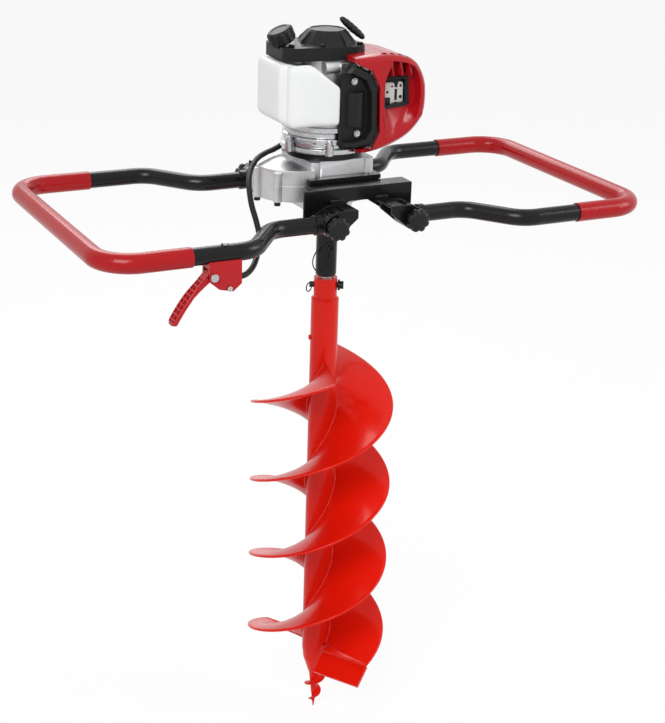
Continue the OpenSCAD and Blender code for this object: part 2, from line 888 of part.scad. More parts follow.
module throttle_housing() {
    x0 = lever_pivot[0];
    w = throttle_w / 2;
    color(red)
        translate([0, lever_pivot[1], 0])
            difference() {
                panel(-w, w)
                    polygon([[x0 - 6, handle_z - 6], [x0 + 36, handle_z - 6], [x0 + 36, handle_z - 36],
                        [x0 + 25, handle_z - 45], [x0 + 7, handle_z - 41], [x0 - 6, handle_z - 30]]);
                translate([0, 0, handle_z]) bar_x(x0 - 20, x0 + 60, tube_d + 2 * seat);
                // slot for the lever's hub
                panel(-lever_w / 2 - 0.4, lever_w / 2 + 0.4)
                    polygon([[x0 - 20, handle_z - 60], [x0 - 20, handle_z - tube_d / 2 - 4],
                        [x0 + 12, handle_z - tube_d / 2 - 4], [x0 + 12, handle_z - 60]]);
                translate([x0, 0, lever_pivot[2]]) bar_y(-w - 1, w + 1, lever_pin_d);
                translate([x0 + 20, 0, handle_z - 41]) bar_y(-w - 1, w + 1, 4);
                translate([x0 + 18, 0, 0]) bar_z(handle_z - tube_d / 2 - 9, handle_z, 5);
                // cable socket
                translate([0, 0, handle_z - 31]) bar_x(x0 + 26, x0 + 40, cable_d + 1.4);
            }
}

module throttle_screws() {
    w = throttle_w / 2;
    color(silver)
        translate([lever_pivot[0], lever_pivot[1], 0]) {
            translate([0, 0, lever_pivot[2]]) {
                bar_y(-w - 0.1, w, lever_pin_d - 2 * seat);
                bar_y(-w - 3, -w - 0.05, lever_pin_d + 4);
            }
            translate([20, 0, handle_z - 41]) {
                bar_y(-w - 0.1, w, 4 - 2 * seat);
                bar_y(-w - 2, -w - 0.05, 6.5);
            }
            // long screw through the bar
            translate([18, 0, 0]) {
                bar_z(handle_z - tube_d / 2 - 8, handle_z + tube_d / 2 + 1, 5 - 2 * seat);
                bar_z(handle_z + tube_d / 2 + seat, handle_z + tube_d / 2 + 3, 9);
            }
        }
}

lever_angle = 47;

// squeeze lever with hollow back: hub on the pivot screw, blade that thins and curves to its tip
module throttle_lever() {
    hw = lever_w / 2;
    color(red)
        translate(lever_pivot)
            rotate([0, -lever_angle, 0])
                difference() {
                    union() {
                        bar_y(-hw, hw, 15);
                        panel(-hw, hw)
                            polygon([[0, 7.5], [-lever_len * 0.4, 7], [-lever_len * 0.8, 4],
                                [-lever_len, -1], [-lever_len - 2, -5], [-lever_len + 3, -8],
                                [-lever_len * 0.75, -4], [-lever_len * 0.4, -3], [0, -7.5]]);
                    }
                    bar_y(-hw - 1, hw + 1, lever_pin_d + 0.02);
                    // rib pockets on the outer side
                    for (k = [1:7])
                        translate([-lever_len * (0.13 + 0.1 * k), -hw - 1, 1.2 - 0.12 * k * k])
                            cube([lever_len * 0.07, 2, 3]);
                }
}

// Cable route from the throttle housing to the carburettor, in its own chosen points
cable_start = [lever_pivot[0] + 27, lever_pivot[1], handle_z - 31];
cable_pts = [cable_start, cable_start + [6, 0, 0], cable_start + [12, 0, 0], [-198, -181, 762], [-185, -168, 764],
    [-172, -150, 768], [-160, -131, 776], [-151.5, -113, 786.5], [-149, -98, 800], [-147, -78, 817], [-139, -52, 834],
    [-127, -28, 844], [-113, -8, 849], [-98, 10, 851.5], [-80, 27, 852], [-58, 45, 852], [-38, 58, 856],
    [-18, 65, 869], [2, 66, 888], [11, 59.5, 905], [20, 56.8, 915.5], [29.3, 56, 919.3]];

module throttle_cable() {
    color(black) cord(route(cable_pts, 4), cable_d, 10);
}

// Clutch and crank

module adapter_ring() {
    color(black)
        on_engine() ring_z(block_z1, clutch_z0, 2 * (clutch_r - 5), bearing_in[0] + 5);
}

clutch_screw_r = clutch_r - 2;

module clutch_housing() {
    r = clutch_r;
    z = clutch_z0;
    color(silver)
        on_engine()
            difference() {
                union() {
                    translate([0, 0, z])
                        rotate_extrude()
                            polygon([[0, 0], [r - 3, 0], [r - 2, 2], [r + 3, 2], [r + 3, 8], [r - 1, 9.5],
                                [r - 1, 13], [r + 1, 14], [r + 1, 21], [r - 2, 22.5], [r - 2, clutch_h - 8],
                                [r + 2, clutch_h - 6], [r + 2, clutch_h], [0, clutch_h]]);
                    // lugs for the screws that hold the housing down
                    for (a = [60, 120, 195, 250])
                        rotate(a) translate([r + 6, 0, 0]) bar_z(z + 2, z + 16, 11);
                    // standoff for the shroud's lower screw
                    translate([shroud_bolts[1][0], 0, shroud_bolts[1][1]])
                        bar_y(-shroud_face + 4 + seat, -r + 4, 11);
                }
                translate([shroud_bolts[1][0], 0, shroud_bolts[1][1]])
                    bar_y(-shroud_face, -shroud_face + 22, 5);
                bar_z(z + 3, clutch_z1 + 1, 2 * (r - 7));
                bar_z(z - 1, z + 4, bearing_in[0] + 6);
            }
}

module clutch_drum() {
    r = clutch_r - 15;
    color(steel)
        on_engine()
            difference() {
                union() {
                    bar_z(drum_z0, drum_z0 + 3, 2 * r);
                    ring_z(drum_z0, drum_z0 + drum_h, 2 * r, 2 * r - 4);
                    bar_z(drum_z0, drum_z0 + 8, 22);
                }
                bar_z(drum_z0 - 1, drum_z0 + 10, bearing_in[0] + 2 * seat);
            }
}

crank_d = bearing_crank[0];
crank_throw = 13;

module crankshaft() {
    web_r = crankcase_r - 12;
    color(steel)
        on_engine() {
            bar_z(drum_z0 + 10.5, cyl_z - 6, crank_d);
            bar_z(cyl_z + 6, recoil_z0 + 13, crank_d);
            for (z = [cyl_z - 14, cyl_z + 6])
                difference() {
                    bar_z(z, z + 8, 2 * web_r);
                    // the cheeks are cut away beside the crank pin
                    for (y = [-1, 1])
                        translate([10, y * web_r, z - 1]) cylinder(h = 10, r = web_r * 0.55);
                }
            translate([crank_throw, 0, 0]) bar_z(cyl_z - 7, cyl_z + 7, 10);
        }
}

module crank_bearings() {
    color(steel)
        on_engine() {
            bearing(bearing_crank, clutch_z1 + 2);
            bearing(bearing_crank, recoil_z0 - 12);
        }
}

module flywheel() {
    r = clutch_r - 10;
    color(steel)
        on_engine()
            difference() {
                union() {
                    bar_z(flywheel_z0, flywheel_z0 + 4, 2 * r);
                    bar_z(flywheel_z0, flywheel_z0 + flywheel_h, 26);
                    for (k = [0:11])
                        rotate(30 * k)
                            translate([12, -1.25, flywheel_z0 + 3]) cube([r - 14, 2.5, flywheel_h - 4]);
                }
                bar_z(flywheel_z0 - 1, flywheel_z0 + flywheel_h + 1, crank_d + 2 * seat);
            }
}

module clutch_shoes() {
    r = clutch_r - 18.5;
    color(steel)
        on_engine()
            for (side = [0, 180])
                rotate(side)
                    difference() {
                        bar_z(drum_z0 + 9.5, flywheel_z0 - seat, 2 * r);
                        bar_z(drum_z0 + 8, flywheel_z0 + 1, r);
                        translate([-2 * r, -2 * r, drum_z0]) cube([2 * r + 6, 4 * r, drum_h + 4]);
                    }
}

// Engine

shroud_front = 74;
shroud_face = 62;
shroud_bolts = [[8, cyl_z + 28], [14, cyl_z - 40]];
filler_y = -42;
filler_z = cyl_z + 43;

module crankcase() {
    r = crankcase_r;
    color(silver)
        on_engine()
            difference() {
                union() {
                    bar_z(clutch_z1, clutch_z1 + 5, 2 * (clutch_r - 3));
                    bar_z(clutch_z1, recoil_z0 - seat, 2 * r);
                    translate([r - 14, -26, cyl_z - 26]) cube([20, 52, 52]);
                    // standoff that carries the shroud
                    translate([shroud_bolts[0][0], 0, shroud_bolts[0][1]])
                        bar_y(-shroud_face + 4 + seat, -r + 4, 11);
                    // oil filler: a round neck and a square boss with a pocket
                    translate([0, filler_y, filler_z]) bar_x(-24, -2, 16);
                    translate([-4, filler_y - 9, filler_z - 9]) cube([16, 20, 15]);
                }
                translate([-1, filler_y - 10, filler_z - 5]) cube([9, 6, 10]);
                bar_z(clutch_z1 + 10, recoil_z0 - 12, 2 * (r - 6));
                bar_z(clutch_z1 - 1, clutch_z1 + 11, bearing_crank[1]);
                bar_z(recoil_z0 - 13, recoil_z0 + 1, bearing_crank[1]);
                translate([0, 0, cyl_z]) bar_x(10, r + 10, cylinder_bore);
                translate([shroud_bolts[0][0], 0, shroud_bolts[0][1]])
                    bar_y(-shroud_face, -shroud_face + 22, 5);
            }
}

cyl_x0 = crankcase_r + 6;
cyl_len = 46;
port_x = cyl_x0 + 20;

module engine_cylinder() {
    color(silver)
        on_engine()
            translate([0, 0, cyl_z])
                difference() {
                    union() {
                        bar_x(cyl_x0 + seat, cyl_x0 + cyl_len, cylinder_bore + 12);
                        for (k = [0:5])
                            translate([cyl_x0 + 8 + 6 * k, -32, -32]) cube([2.5, 64, 64]);
                        translate([port_x, 0, 0]) bar_y(-36, 40, 26);
                        // posts that carry the red cover
                        for (y = [-22, 4])
                            translate([cover_mid[0], y, 0]) bar_z(30, 60.5 * cover_scale - 0.3, 8);
                    }
                    bar_x(cyl_x0 - 1, cyl_x0 + cyl_len - 6, cylinder_bore);
                    translate([port_x, 0, 0]) bar_y(-37, 41, 14);
                    bar_x(cyl_x0 + cyl_len - 7, cyl_x0 + cyl_len + 1, 10);
                }
}

module spark_plug() {
    x = cyl_x0 + cyl_len;
    color(white)
        on_engine()
            translate([0, 0, cyl_z]) {
                bar_x(x - 6, x + 0.1, 10 - 2 * seat);
                translate([x + seat, 0, 0]) rotate([0, 90, 0]) cylinder(h = 5, d = 16, $fn = 6);
                bar_x(x + 5, x + 9, 9);
            }
}

muffler_y0 = -55;
muffler_y1 = -36 - seat;

module muffler() {
    z0 = cyl_z - 23;
    color(silver)
        on_engine()
            difference() {
                union() {
                    slab(port_x - 18, port_x + 26, muffler_y0 + 3, muffler_y1, z0, z0 + 50, 5);
                    translate([port_x - 15, muffler_y0 + 1, z0 + 6]) cube([33, 3, 38]);
                    translate([port_x - 14, muffler_y0, z0 + 9]) cube([13, 5, 12]);
                }
                translate([port_x - 12, muffler_y0 - 1, z0 + 11]) cube([9, 12, 8]);
                translate([port_x, 0, cyl_z]) bar_y(muffler_y1 - 12, muffler_y1 + 1, 14);
            }
}

shroud_outline = [[-9, cyl_z - 58], [8, cyl_z - 59], [32, cyl_z - 56], [41, cyl_z - 38], [39, cyl_z + 20],
    [28, cyl_z + 40], [5, cyl_z + 51], [-9, cyl_z + 38]];
shroud_recess = [[-12, cyl_z - 49], [10, cyl_z - 50], [24, cyl_z - 46], [31, cyl_z - 34], [29, cyl_z + 14],
    [21, cyl_z + 30], [5, cyl_z + 39], [-12, cyl_z + 42]];

module engine_shroud() {
    face = -shroud_face;
    color(black)
        on_engine()
            difference() {
                union() {
                    difference() {
                        hull() {
                            panel(-shroud_front, -shroud_front + 0.5)
                                translate([12, cyl_z - 4]) scale([0.9, 0.93]) translate([-12, -cyl_z + 4])
                                    polygon(shroud_outline);
                            panel(-shroud_front + 5, face + 4) polygon(shroud_outline);
                        }
                        hull() {
                            panel(-shroud_front - 1, -shroud_front) polygon(shroud_recess);
                            panel(face - 0.5, face)
                                translate([9, cyl_z - 4]) scale(0.94) translate([-9, -cyl_z + 4])
                                    polygon(shroud_recess);
                        }
                    }
                    // bulge between the screws
                    translate([11, face + 3, 0]) bar_z(cyl_z - 30, cyl_z + 14, 26);
                }
                translate([-20, face + 4, cyl_z - 70]) cube([80, 30, 140]);
                translate([11, face + 3, 0]) bar_z(cyl_z - 27, cyl_z + 11, 20);
                for (p = shroud_bolts)
                    translate([p[0], 0, p[1]]) bar_y(face - 1, face + 5, 5.4);
            }
}

cover_front = 76;
cover_back = 12;
cover_outline = [[8, cyl_z + 54], [8, cyl_z + 59], [44, cyl_z + 61], [66, cyl_z + 60], [92, cyl_z + 54],
    [105, cyl_z + 37], [111, cyl_z + 16], [110, cyl_z - 17], [101, cyl_z - 32], [84, cyl_z - 48],
    [54, cyl_z - 61], [30, cyl_z - 66], [7, cyl_z - 66]];
cover_mid = [54, cyl_z];
cover_scale = 1 - cover_wall / 57;
// the recess round the muffler window
cover_pocket = [[48, cyl_z + 55], [87, cyl_z + 48], [97, cyl_z + 32], [100, cyl_z + 10], [97, cyl_z - 14],
    [50, cyl_z - 16]];
pocket_depth = 16;
// the recess widens downwards at the face, so that its lower side slopes
cover_mouth = [[48, cyl_z + 55], [87, cyl_z + 48], [97, cyl_z + 32], [100, cyl_z + 10], [98, cyl_z - 14],
    [91, cyl_z - 28], [75, cyl_z - 41], [45, cyl_z - 52]];

module about_cover(s) {
    translate(cover_mid) scale(s) translate(-cover_mid) children();
}

// the cover's form, drawn in towards its front face so that the edge is round
module cover_form(s, y0) {
    curve = cut_corners(cover_outline, 2);
    hull() {
        panel(y0, y0 + 0.5) about_cover(s * 0.89) polygon(curve);
        panel(y0 + 3, y0 + 3.5) about_cover(s * 0.95) polygon(curve);
        panel(y0 + 8, y0 + 8.5) about_cover(s * 0.985) polygon(curve);
        panel(y0 + 14, cover_back + (s < 1 ? 1 : 0)) about_cover(s) polygon(curve);
    }
}

module engine_cover() {
    floor_y = -cover_front + pocket_depth;
    curve = cut_corners(cover_pocket, 1);
    mouth = cut_corners(cover_mouth, 1);
    color(red)
        on_engine()
            difference() {
                union() {
                    difference() {
                        cover_form(1, -cover_front);
                        cover_form(cover_scale, -cover_front + cover_wall);
                    }
                    intersection() {
                        cover_form(1, -cover_front);
                        panel(-cover_front + 0.5, floor_y + cover_wall)
                            about_cover(1.04) polygon(mouth);
                    }
                }
                // recess with three upright louvres left standing over the window
                difference() {
                    hull() {
                        panel(-cover_front - 1, -cover_front) polygon(mouth);
                        panel(floor_y - 1, floor_y)
                            translate([73, cyl_z + 16]) scale(0.94) translate([-73, -cyl_z - 16]) polygon(curve);
                    }
                    for (k = [0:2])
                        panel(-cover_front + 2, floor_y + 1)
                            polygon([[53 + 13 * k, cyl_z + 60], [56 + 13 * k, cyl_z + 60],
                                [61 + 13 * k, cyl_z + 33], [58 + 13 * k, cyl_z + 33]]);
                }
                // window onto the muffler, and slots between the louvres
                panel(floor_y - 1, floor_y + cover_wall + 1)
                    polygon([[52, cyl_z - 12], [90, cyl_z - 8], [88, cyl_z + 30], [50, cyl_z + 30]]);
                for (k = [0:2])
                    panel(floor_y - 1, floor_y + cover_wall + 1)
                        polygon([[58 + 12 * k, cyl_z + 46 - 2 * k], [63 + 12 * k, cyl_z + 46 - 2 * k],
                            [67 + 10 * k, cyl_z + 34], [62 + 10 * k, cyl_z + 34]]);
                // room for the shroud, the crankcase and the recoil starter
                panel(-cover_front - 1, cover_back + 2)
                    translate([20, cyl_z - 4]) scale(1.035) translate([-20, -cyl_z + 4])
                        polygon(concat([for (i = [0:6]) shroud_outline[i]], [[-30, cyl_z + 51], [-30, cyl_z - 58]]));
                bar_z(clutch_z0 - 10, clutch_z1 + 6, 2 * (clutch_r + 4.5));
                bar_z(clutch_z1, recoil_z0 + 1, 2 * (crankcase_r + 1.5));
                translate([-40, -crankcase_r - 2, cyl_z - 80]) cube([72, 120, 30]);
                translate([0, 0, recoil_z0 - free_gap])
                    linear_extrude(recoil_plate_h + 20) recoil_outline(free_gap);
                // slots along the top edge, and vents down the end
                for (k = [0:3])
                    translate([48 + 11 * k, -cover_front + 10, cyl_z + 50]) cube([7, 9, 20]);
                for (k = [0:4])
                    translate([101, -cover_front + 3, cyl_z - 14 + 9 * k]) cube([20, 12, 4]);
            }
}

tank_x0 = -89;
tank_x1 = -10;
tank_z0 = clutch_z1 + 5.5;
tank_z1 = recoil_z0;
neck_foot = [-52, -4, tank_z1 - 4];
cap_tilt = 25;
cap_t0 = 27;

module tank_body(in) {
    z1 = tank_z1 - in - seat;
    intersection() {
        slab(tank_x0 + in, tank_x1 - in, -tank_front + in, tank_depth - tank_front - in,
            tank_z0 + in, z1, 12 - in);
        panel(-tank_front - 1, tank_depth - tank_front + 1)
            polygon([[tank_x0, tank_z0 + 8 + in], [tank_x0 + 16, tank_z0], [tank_x1, tank_z0],
                [tank_x1, cyl_z + 22 - in], [tank_x1 - 38, z1], [tank_x0 + 10 + in, z1], [tank_x0 + in, cyl_z - 8]]);
    }
}

// moulded crease down the tank's near corner
module tank_crease(grow) {
    translate([tank_x0, -tank_front, 0]) bar_z(tank_z0 - 1, tank_z1 + 1, 15 + 2 * grow);
}

module fuel_tank() {
    saddle = crankcase_r + 2.5;
    color(white)
        on_engine()
            difference() {
                union() {
                    tank_body(0);
                    translate(neck_foot)
                        rotate([0, -cap_tilt, 0]) bar_z(-8, cap_t0 + 11, cap_d - 11);
                }
                difference() {
                    tank_body(tank_wall);
                    bar_z(tank_z0 - 1, tank_z1 + 1, 2 * (saddle + tank_wall));
                    tank_crease(tank_wall);
                }
                tank_crease(0);
                bar_z(tank_z0 - 1, tank_z1 + 1, 2 * saddle);
                translate(neck_foot)
                    rotate([0, -cap_tilt, 0]) bar_z(-9, cap_t0 + 12, cap_d - 17);
                translate([0, filler_y, filler_z]) bar_x(-24, 8, 19);
            }
}

module fuel_cap() {
    color(black)
        on_engine()
            translate(neck_foot)
                rotate([0, -cap_tilt, 0])
                    difference() {
                        union() {
                            bar_z(cap_t0, cap_t0 + 18, cap_d - 2);
                            for (k = [0:17])
                                rotate(20 * k)
                                    translate([cap_d / 2 - 1.5, 0, 0]) bar_z(cap_t0 + 1, cap_t0 + 16.5, 3);
                        }
                        bar_z(cap_t0 - 1, cap_t0 + 11 + running, cap_d - 11 + 2 * running);
                    }
}

module recoil_outline(grow) {
    x = [-62, 20];
    r = [13 + grow, 20 + grow];
    y = [22, 24];
    polygon([[x[0] - r[0], -y[0]], [x[0], -y[0] - r[0]], [x[1], -y[1] - r[1]], [x[1] + r[1], -y[1]],
        [x[1] + r[1], y[1]], [x[1], y[1] + r[1]], [x[0], y[0] + r[0]], [x[0] - r[0], y[0]]]);
    for (k = [0, 1], s = [-1, 1])
        translate([x[k], s * y[k]]) circle(r[k]);
}

// the rope leaves the dome's slope and the grip lies close over it
dome_r0 = 38;
dome_r1 = 23.5;
rope_turn = -20;
rope_tilt = 40;
rope_d = 3.5;
rope_foot = [27.5, 0, recoil_z1 + 0.7 * recoil_dome_h];

module on_rope() {
    on_engine() rotate(rope_turn) translate(rope_foot) rotate([0, rope_tilt, 0]) children();
}

module recoil_housing() {
    color(black)
        difference() {
            on_engine() {
                translate([0, 0, recoil_z0])
                    linear_extrude(recoil_plate_h) recoil_outline(0);
                translate([0, 0, recoil_z1 - EPS])
                    cylinder(h = recoil_dome_h, r1 = dome_r0, r2 = dome_r1);
                // ribs down the dome, away from the rope
                for (k = [0:5])
                    rotate(rope_turn + 55 + 50 * k)
                        panel(-1.5, 1.5)
                            polygon([[20, recoil_z1], [dome_r0 + 1.5, recoil_z1], [dome_r0, recoil_z1 + 4],
                                [dome_r1 + 3, recoil_z2 - 2], [20, recoil_z2 - 2]]);
            }
            on_engine() {
                translate([0, 0, recoil_z2 - 1]) cylinder(h = 2, r = dome_r1 - 2);
                bar_z(recoil_z0 - 1, recoil_z1 + 3, 66);
                bar_z(recoil_z1 - 1, recoil_z2 - 3.5, 40);
                // room for the tank's neck and the cap
                translate(neck_foot)
                    rotate([0, -cap_tilt, 0]) {
                        bar_z(-20, 60, cap_d - 9.5);
                        bar_z(cap_t0 - 1, 60, cap_d + 2);
                    }
                // cooling slots beside the dome
                for (p = [[-46, -24], [-28, -36]])
                    translate([p[0], p[1], recoil_z1 - 3]) cube([10, 6, 4]);
            }
            on_rope() bar_z(-20, 4, rope_d + 0.6);
        }
}

// reel that the rope winds on, turning on the crank's upper end
module starter_reel() {
    z = recoil_z0 + 1;
    color(black)
        on_engine()
            difference() {
                union() {
                    bar_z(z, z + 2, 58);
                    bar_z(z, z + 12, 44);
                    bar_z(z + 10, z + 12, 58);
                }
                bar_z(z - 1, z + 13, crank_d + 2 * running);
            }
}

module starter_rope() {
    color(white)
        on_rope() bar_z(-11, 1.5 - seat, rope_d);
}

module starter_grip() {
    half = starter_grip_len / 2;
    d = 12;
    color(black)
        on_rope() {
            bar_z(2.5, 8, 9);
            translate([0, 0, 7.5]) {
                bar_x(-half + d / 2, half - d / 2, d);
                for (x = [-half + d / 2, half - d / 2])
                    translate([x, 0, 0]) sphere(d = d);
            }
        }
}

// Carburettor side, at the rear

carb_y0 = 40 + seat;
carb_y1 = carb_y0 + 24;

module carburettor() {
    color(silver)
        on_engine()
            difference() {
                union() {
                    slab(port_x - 20, port_x + 16, carb_y0, carb_y1, cyl_z - 16, cyl_z + 18, 4);
                    // cable bracket
                    translate([port_x - 27, carb_y0 + 10, cyl_z - 14]) cube([9, 12, 4]);
                }
                translate([port_x, 0, cyl_z]) bar_y(carb_y0 - 1, carb_y1 + 1, 15);
            }
}

air_y1 = carb_y1 + 30;
choke_pos = [port_x + 14, carb_y1 + 15, cyl_z + 42];

module air_cleaner() {
    x = port_x - 4;
    color(black)
        on_engine()
            difference() {
                union() {
                    slab(x - 40, x + 40, carb_y1 + seat, air_y1 - 6, cyl_z - 38, cyl_z + 42, 8);
                    slab(x - 34, x + 34, carb_y1 + 8, air_y1, cyl_z - 32, cyl_z + 36, 8);
                }
                slab(x - 37, x + 37, carb_y1 + 4, air_y1 - 9, cyl_z - 35, cyl_z + 39, 6);
                translate([port_x, 0, cyl_z]) bar_y(carb_y1 - 1, carb_y1 + 6, 15);
                translate(choke_pos) bar_z(-5, 1, 6);
            }
}

// lever on top of the air cleaner that turns the choke shaft
module choke_lever() {
    color(black)
        on_engine()
            translate(choke_pos) {
                bar_z(-2.5, 1, 6 - 2 * running);
                bar_z(0.4, 4.4, 12);
                translate([-3, 0, 0.4]) cube([6, 20, 4]);
                translate([0, 20, 0]) bar_z(0.4, 6.4, 8);
            }
}

// soft bulb under the carburettor
module primer_bulb() {
    color("#b9b49c")
        on_engine()
            translate([port_x - 4, carb_y0 + 12, cyl_z - 16 - seat])
                rotate([180, 0, 0])
                    rotate_extrude()
                        polygon(concat([[0, 0], [9, 0], [9, 2]],
                            [for (a = [0:15:90]) [7.5 * cos(a), 2 + 9 * sin(a)]]));
}

module engine_screws() {
    color(silver)
        on_engine() {
            for (p = shroud_bolts)
                translate([p[0], 0, p[1]]) {
                    bar_y(-shroud_face - 4, -shroud_face - seat, 9);
                    bar_y(-shroud_face - 0.1, -shroud_face + 17, 5 - 2 * seat);
                }
            for (a = [60, 120, 195, 250])
                rotate(a) translate([clutch_r + 6, 0, 0]) bar_z(clutch_z0 + 16 + seat, clutch_z0 + 20, 8);
            for (p = [[-62, -24], [31, -33], [31, 33]])
                translate([p[0], p[1], 0]) bar_z(recoil_z1 + seat, recoil_z1 + 3, 8);
        }
}

frame_front_beam();
frame_rear_beam();
base_plate();
clamp_brackets();
pivot_bolts();
frame_bolts();
gear_case();
gear_case_cover();
case_screws();
gearbox_bearings();
output_seal();
adapter_ring();
clutch_housing();
crankcase();
crank_bearings();
engine_cylinder();
spark_plug();
muffler();
engine_shroud();
engine_cover();
engine_screws();
fuel_tank();
recoil_housing();
carburettor();
air_cleaner();
throttle_cable();
output_shaft();
output_gear();
drive_sleeve();
bit_tube();
bit_flight_a();
bit_flight_b();
cutter_blades();
pilot_screw();
pin_lanyard();
locking_pin();
layshaft();
layshaft_gear();
clutch_drum();
input_pinion();
crankshaft();
flywheel();
clutch_shoes();
left_handle_tube();
left_grip();
throttle_housing();
throttle_screws();
throttle_lever();
right_handle_tube();
right_grip();
knob_left_front();
knob_left_rear();
knob_right_front();
knob_right_rear();
fuel_cap();
starter_grip();
starter_rope();
starter_reel();
choke_lever();
primer_bulb();
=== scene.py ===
import json
import math

import bmesh
import bpy
import numpy as np
from mathutils import Matrix, Vector


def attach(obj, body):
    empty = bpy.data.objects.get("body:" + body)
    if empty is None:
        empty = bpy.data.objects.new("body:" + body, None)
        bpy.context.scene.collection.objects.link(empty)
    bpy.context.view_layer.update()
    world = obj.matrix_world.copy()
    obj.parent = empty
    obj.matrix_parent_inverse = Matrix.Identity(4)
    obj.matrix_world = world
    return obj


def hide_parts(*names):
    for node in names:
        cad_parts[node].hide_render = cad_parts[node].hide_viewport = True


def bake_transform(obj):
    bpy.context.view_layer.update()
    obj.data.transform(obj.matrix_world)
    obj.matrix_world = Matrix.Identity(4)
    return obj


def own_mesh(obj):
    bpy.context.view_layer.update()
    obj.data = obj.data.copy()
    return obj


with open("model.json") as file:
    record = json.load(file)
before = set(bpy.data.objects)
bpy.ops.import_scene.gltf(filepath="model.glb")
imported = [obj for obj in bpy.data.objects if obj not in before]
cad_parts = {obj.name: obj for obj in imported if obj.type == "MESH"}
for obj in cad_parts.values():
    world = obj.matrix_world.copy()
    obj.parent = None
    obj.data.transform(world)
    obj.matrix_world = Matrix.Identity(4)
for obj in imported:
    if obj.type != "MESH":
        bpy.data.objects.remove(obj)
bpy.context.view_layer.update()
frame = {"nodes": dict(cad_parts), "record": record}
nodes = frame["nodes"]
scene = bpy.context.scene
scene.view_settings.view_transform = "Standard"
print("stage 1: frame loaded,", len(nodes), "nodes")

# camera at the photograph's angle, in metres
cameraSet = {
    "place": (-0.975454, -1.932343, 1.387683),
    "right": (0.89473119, -0.44562527, 0.02956709),
    "up": (0.13531908, 0.33359626, 0.93295353),
    "back": (-0.42561114, -0.83074163, 0.35878058),
    "lens": 83.155,
}


def placeCamera(s):
    data = bpy.data.cameras.new("camera")
    data.sensor_fit = "VERTICAL"
    data.sensor_height = 36.0
    data.lens = s["lens"]
    data.clip_end = 50.0
    cam = bpy.data.objects.new("camera", data)
    scene.collection.objects.link(cam)
    turn = Matrix((s["right"], s["up"], s["back"])).transposed().to_4x4()
    cam.matrix_world = Matrix.Translation(s["place"]) @ turn
    scene.camera = cam


placeCamera(cameraSet)


# shader maths: a wrapped socket, so that an expression adds its Math nodes
class Wire:
    def __init__(self, tree, socket):
        self.tree = tree
        self.socket = socket

    def put(self, socket, value):
        if isinstance(value, Wire):
            self.tree.links.new(value.socket, socket)
        else:
            socket.default_value = value

    def node(self, kind, settings=None, inputs=None, out=0):
        made = self.tree.nodes.new(kind)
        for key, value in (settings or {}).items():
            setattr(made, key, value)
        for key, value in (inputs or {}).items():
            self.put(made.inputs[key], value)
        return Wire(self.tree, made.outputs[out])

    def maths(self, operation, first, second=0.0):
        return self.node("ShaderNodeMath", {"operation": operation}, {0: first, 1: second})

    def __add__(self, other):
        return self.maths("ADD", self, other)

    __radd__ = __add__

    def __sub__(self, other):
        return self.maths("SUBTRACT", self, other)

    def __rsub__(self, other):
        return self.maths("SUBTRACT", other, self)

    def __mul__(self, other):
        return self.maths("MULTIPLY", self, other)

    __rmul__ = __mul__

    # 0 below low, 1 above high, smooth between
    def step(self, low, high):
        return self.node("ShaderNodeMapRange", {"interpolation_type": "SMOOTHSTEP"},
                         {"Value": self, "From Min": low, "From Max": high})


def newSurface(name):
    mat = bpy.data.materials.new(name)
    mat.use_nodes = True
    tree = mat.node_tree
    shader = tree.nodes["Principled BSDF"]
    start = Wire(tree, None)
    where = start.node("ShaderNodeTexCoord", out="Object")
    return mat, shader, where


def noise(where, scale, detail=3.0, rough=0.55):
    return where.node("ShaderNodeTexNoise", {},
                      {"Vector": where, "Scale": scale, "Detail": detail, "Roughness": rough})


def blendColour(where, factor, first, second):
    return where.node("ShaderNodeMix", {"data_type": "RGBA"},
                      {"Factor": factor, 6: first, 7: second}, out=2)


# softened edges, and a mask that is 1 along them
def edges(where, radius):
    soft = where.node("ShaderNodeBevel", {"samples": 4}, {"Radius": radius})
    flat = where.node("ShaderNodeNewGeometry", out="Normal")
    facing = where.node("ShaderNodeVectorMath", {"operation": "DOT_PRODUCT"}, {0: soft, 1: flat}, out="Value")
    return soft, (1.0 - facing).step(0.01, 0.12)


def rgba(colour, k=1.0):
    return (colour[0] * k, colour[1] * k, colour[2] * k, 1.0)


# colour, roughness and a fine bump over the softened edges go to the shader
def feedShader(shader, where, s, colour, rough, fine, soft):
    bump = where.node("ShaderNodeBump", {},
                      {"Strength": 0.6, "Distance": s["bump"], "Height": fine, "Normal": soft})
    where.put(shader.inputs["Base Color"], colour)
    where.put(shader.inputs["Roughness"], rough)
    where.put(shader.inputs["Normal"], bump)


